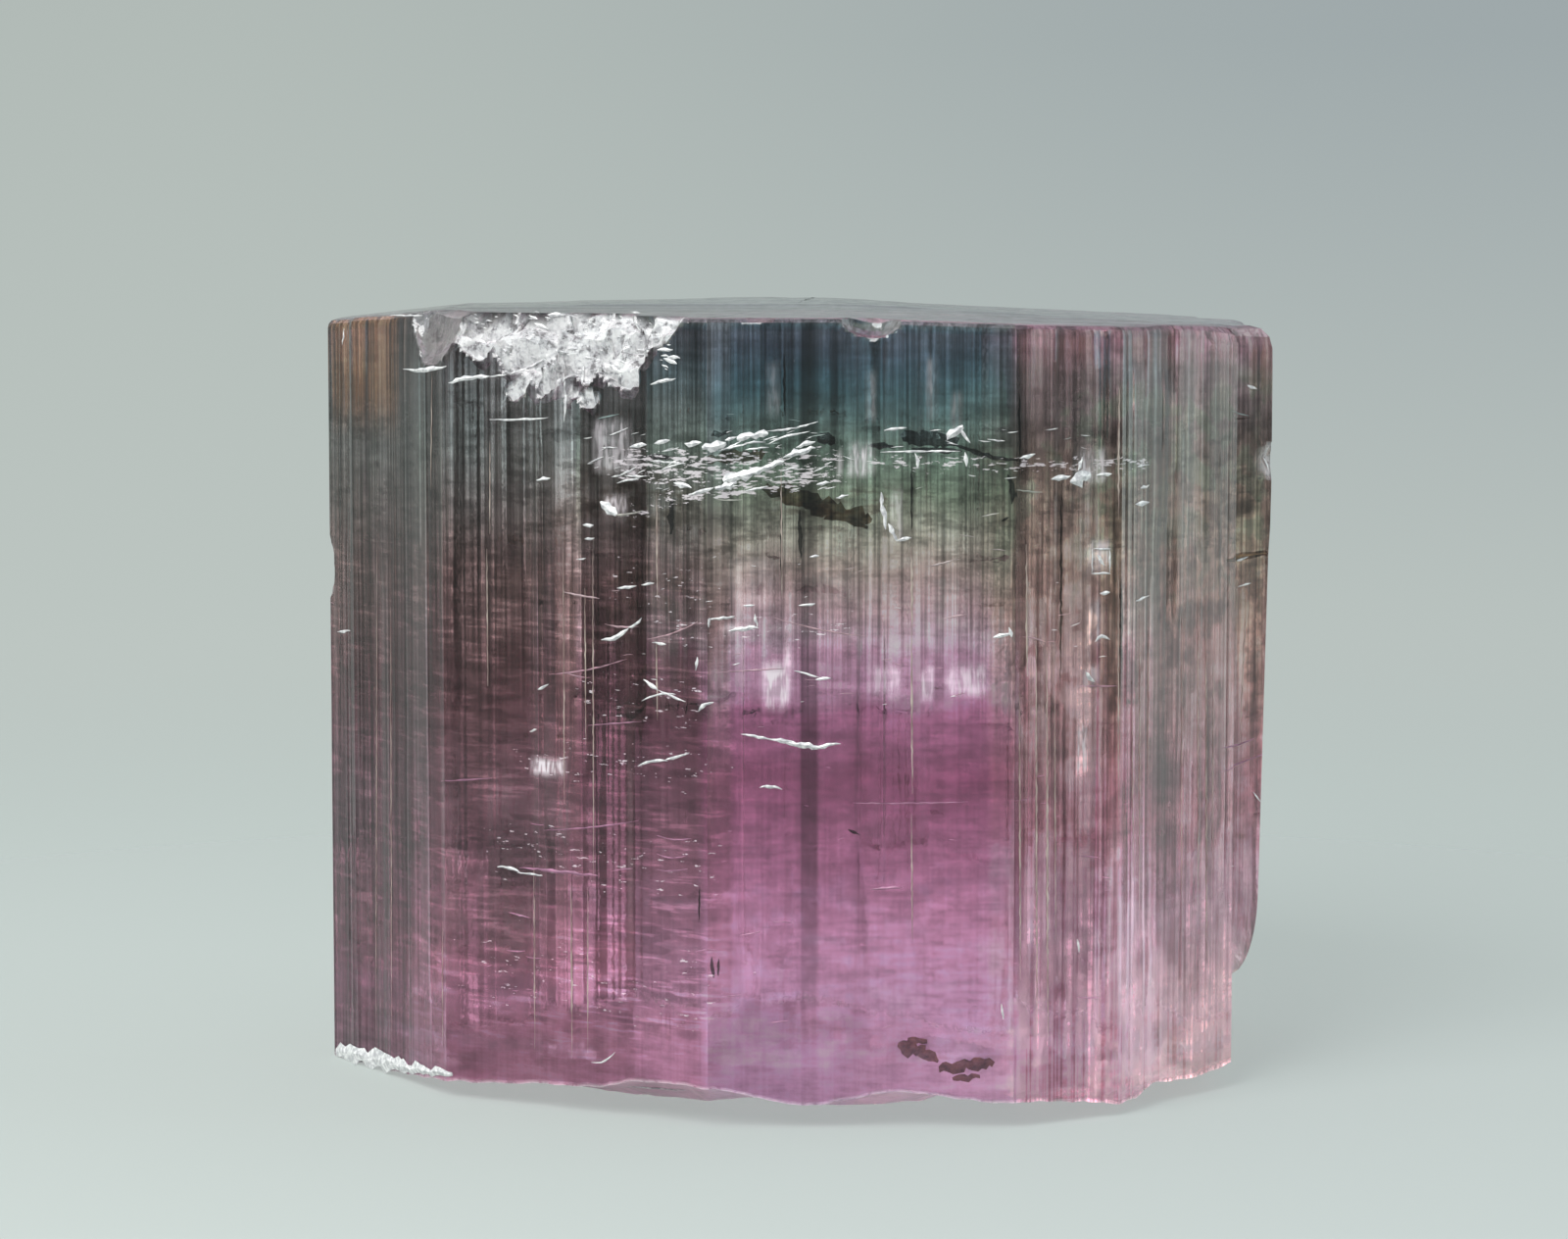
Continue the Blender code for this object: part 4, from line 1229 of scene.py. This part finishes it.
def crystal_material():
    """Clear tourmaline, milky along its healed cracks and white where it is broken."""
    material, tree, shader, millimetres = start_material("tourmaline")
    axes = put(tree, "ShaderNodeSeparateXYZ", {"Vector": millimetres}).outputs
    streaks = grain(tree, millimetres, 2.6, (1.0, 1.0, 0.03), 3.0, 0.75)
    milky = milkiness(tree, millimetres)
    broken = attribute(tree, "broken")
    frost = attribute(tree, "frost")

    colour = mixed(tree, milky, clear_colour(tree, millimetres, axes, streaks), MILKY_TINT)
    colour = mixed(tree, times(tree, frost, 0.6), colour, FROST_TINT)
    rubbly = grain(tree, millimetres, 3.4, detail=3.0, roughness=0.8)
    colour = mixed(tree, broken, colour, ramp(tree, rubbly, SHARDS))
    tree.links.new(colour, shader.inputs["Base Color"])

    rough = math_of(tree, "ADD", between(tree, streaks, 0.3, 0.7, 0.04, 0.14), times(tree, broken, 0.2))
    rough = math_of(tree, "ADD", rough, times(tree, frost, 0.3))
    tree.links.new(rough, shader.inputs["Roughness"])
    clear = math_of(tree, "SUBTRACT", 0.94, times(tree, broken, 0.6))
    clear = math_of(tree, "SUBTRACT", clear, times(tree, frost, 0.25))
    clear = math_of(tree, "SUBTRACT", clear, times(tree, milky, 0.75))
    tree.links.new(clear, shader.inputs["Transmission Weight"])
    shader.inputs["IOR"].default_value = IOR

    tree.links.new(surface_bump(tree, millimetres, broken), shader.inputs["Normal"])
    volume = put(tree, "ShaderNodeVolumeAbsorption", ABSORBED)
    tree.links.new(volume.outputs["Volume"], tree.nodes["Material Output"].inputs["Volume"])
    return material


def floor():
    """A pale floor that fades out into the backdrop."""
    material = bpy.data.materials.new("floor")
    material.use_nodes = True
    tree = material.node_tree
    place = put(tree, "ShaderNodeTexCoord").outputs["Object"]
    distance = put(tree, "ShaderNodeVectorMath", {0: place}, operation="LENGTH").outputs["Value"]
    shown = between(tree, distance, *FLOOR_FADES, 0.0, FLOOR_SHOWN)
    clear = put(tree, "ShaderNodeBsdfTransparent").outputs[0]
    shader = tree.nodes["Principled BSDF"]
    shader.inputs["Base Color"].default_value = linear(*FLOOR_COLOUR)
    shader.inputs["Roughness"].default_value = 0.8
    blend = put(tree, "ShaderNodeMixShader", {"Fac": shown, 1: clear, 2: shader.outputs[0]})
    tree.links.new(blend.outputs[0], tree.nodes["Material Output"].inputs["Surface"])
    turns = [math.tau * i / FLOOR_CORNERS for i in range(FLOOR_CORNERS)]
    places = [(FLOOR_RADIUS * math.cos(turn), FLOOR_RADIUS * math.sin(turn), 0.0) for turn in turns]
    made = make_object("floor", places, [tuple(range(FLOOR_CORNERS))], material, smooth=False)
    made.location.z = FLOOR_DROP * MM


def sky_ramp(tree, share, stops):
    """The backdrop's colours on one side."""
    return ramp(tree, share, [(place, linear(*colour)) for place, colour in stops])


def backdrop():
    """Soft light from all round: bright behind and above, dimmer on the camera's side."""
    world = bpy.data.worlds.new("studio")
    world.cycles.sampling_method = "NONE"  # the backdrop is too even to be worth it
    bpy.context.scene.world = world
    world.use_nodes = True
    tree = world.node_tree
    direction = put(tree, "ShaderNodeTexCoord").outputs["Generated"]
    axes = put(tree, "ShaderNodeSeparateXYZ", {"Vector": direction}).outputs
    low, high = SKY_SPAN
    rise = put(tree, "ShaderNodeMapRange", {"Value": axes["Z"], "From Min": low, "From Max": high})
    share = rise.outputs["Result"]
    left_side = sky_ramp(tree, share, LEFT_SKY)
    right_side = sky_ramp(tree, share, RIGHT_SKY)
    sky = mixed(tree, between(tree, axes["X"], -0.15, 0.17), left_side, right_side)
    lift = between(tree, axes["Z"], 0.12, 0.8, 1.0, 2.0)
    dim = between(tree, axes["Y"], 0.0, -0.45, 1.0, 0.42)
    front_glow = between(tree, axes["Y"], -0.88, -0.96, 1.0, 1.5)
    right_gain = times(tree, between(tree, axes["X"], 0.5, 0.8), between(tree, axes["Y"], -0.35, -0.05), 1.9)
    background = tree.nodes["Background"]
    tree.links.new(sky, background.inputs["Color"])
    strength = times(tree, lift, dim, front_glow, math_of(tree, "ADD", right_gain, 1.0))
    tree.links.new(strength, background.inputs["Strength"])


def soft_light(name, place, target, size, power):
    """A large square light, with place and target in millimetres and power in watts."""
    data = bpy.data.lights.new(name, "AREA")
    data.size = size * MM
    data.energy = power
    made = bpy.data.objects.new(name, data)
    bpy.context.scene.collection.objects.link(made)
    made.location = Vector(place) * MM
    made.rotation_euler = (Vector(target) - Vector(place)).to_track_quat("-Z", "Y").to_euler()
    return made


def camera():
    """The photograph's viewpoint: a long lens from just above the crystal's top."""
    data = bpy.data.cameras.new("camera")
    data.lens = LENS
    data.sensor_width = SENSOR
    data.clip_start = 0.001
    made = bpy.data.objects.new("camera", data)
    bpy.context.scene.collection.objects.link(made)
    made.location = Vector(CAMERA_PLACE) * MM
    made.rotation_euler = (math.radians(90.0 - CAMERA_PITCH), 0.0, 0.0)
    bpy.context.scene.camera = made


def main():
    """Makes the crystal, what shows inside it, and the studio."""
    camera()
    surface = crystal_body(crystal_material())
    inner_flakes(surface)
    floor()
    backdrop()
    soft_light("key", KEY_PLACE, KEY_TARGET, KEY_SIZE, KEY_POWER)
    bpy.context.scene.view_settings.view_transform = "Standard"


main()
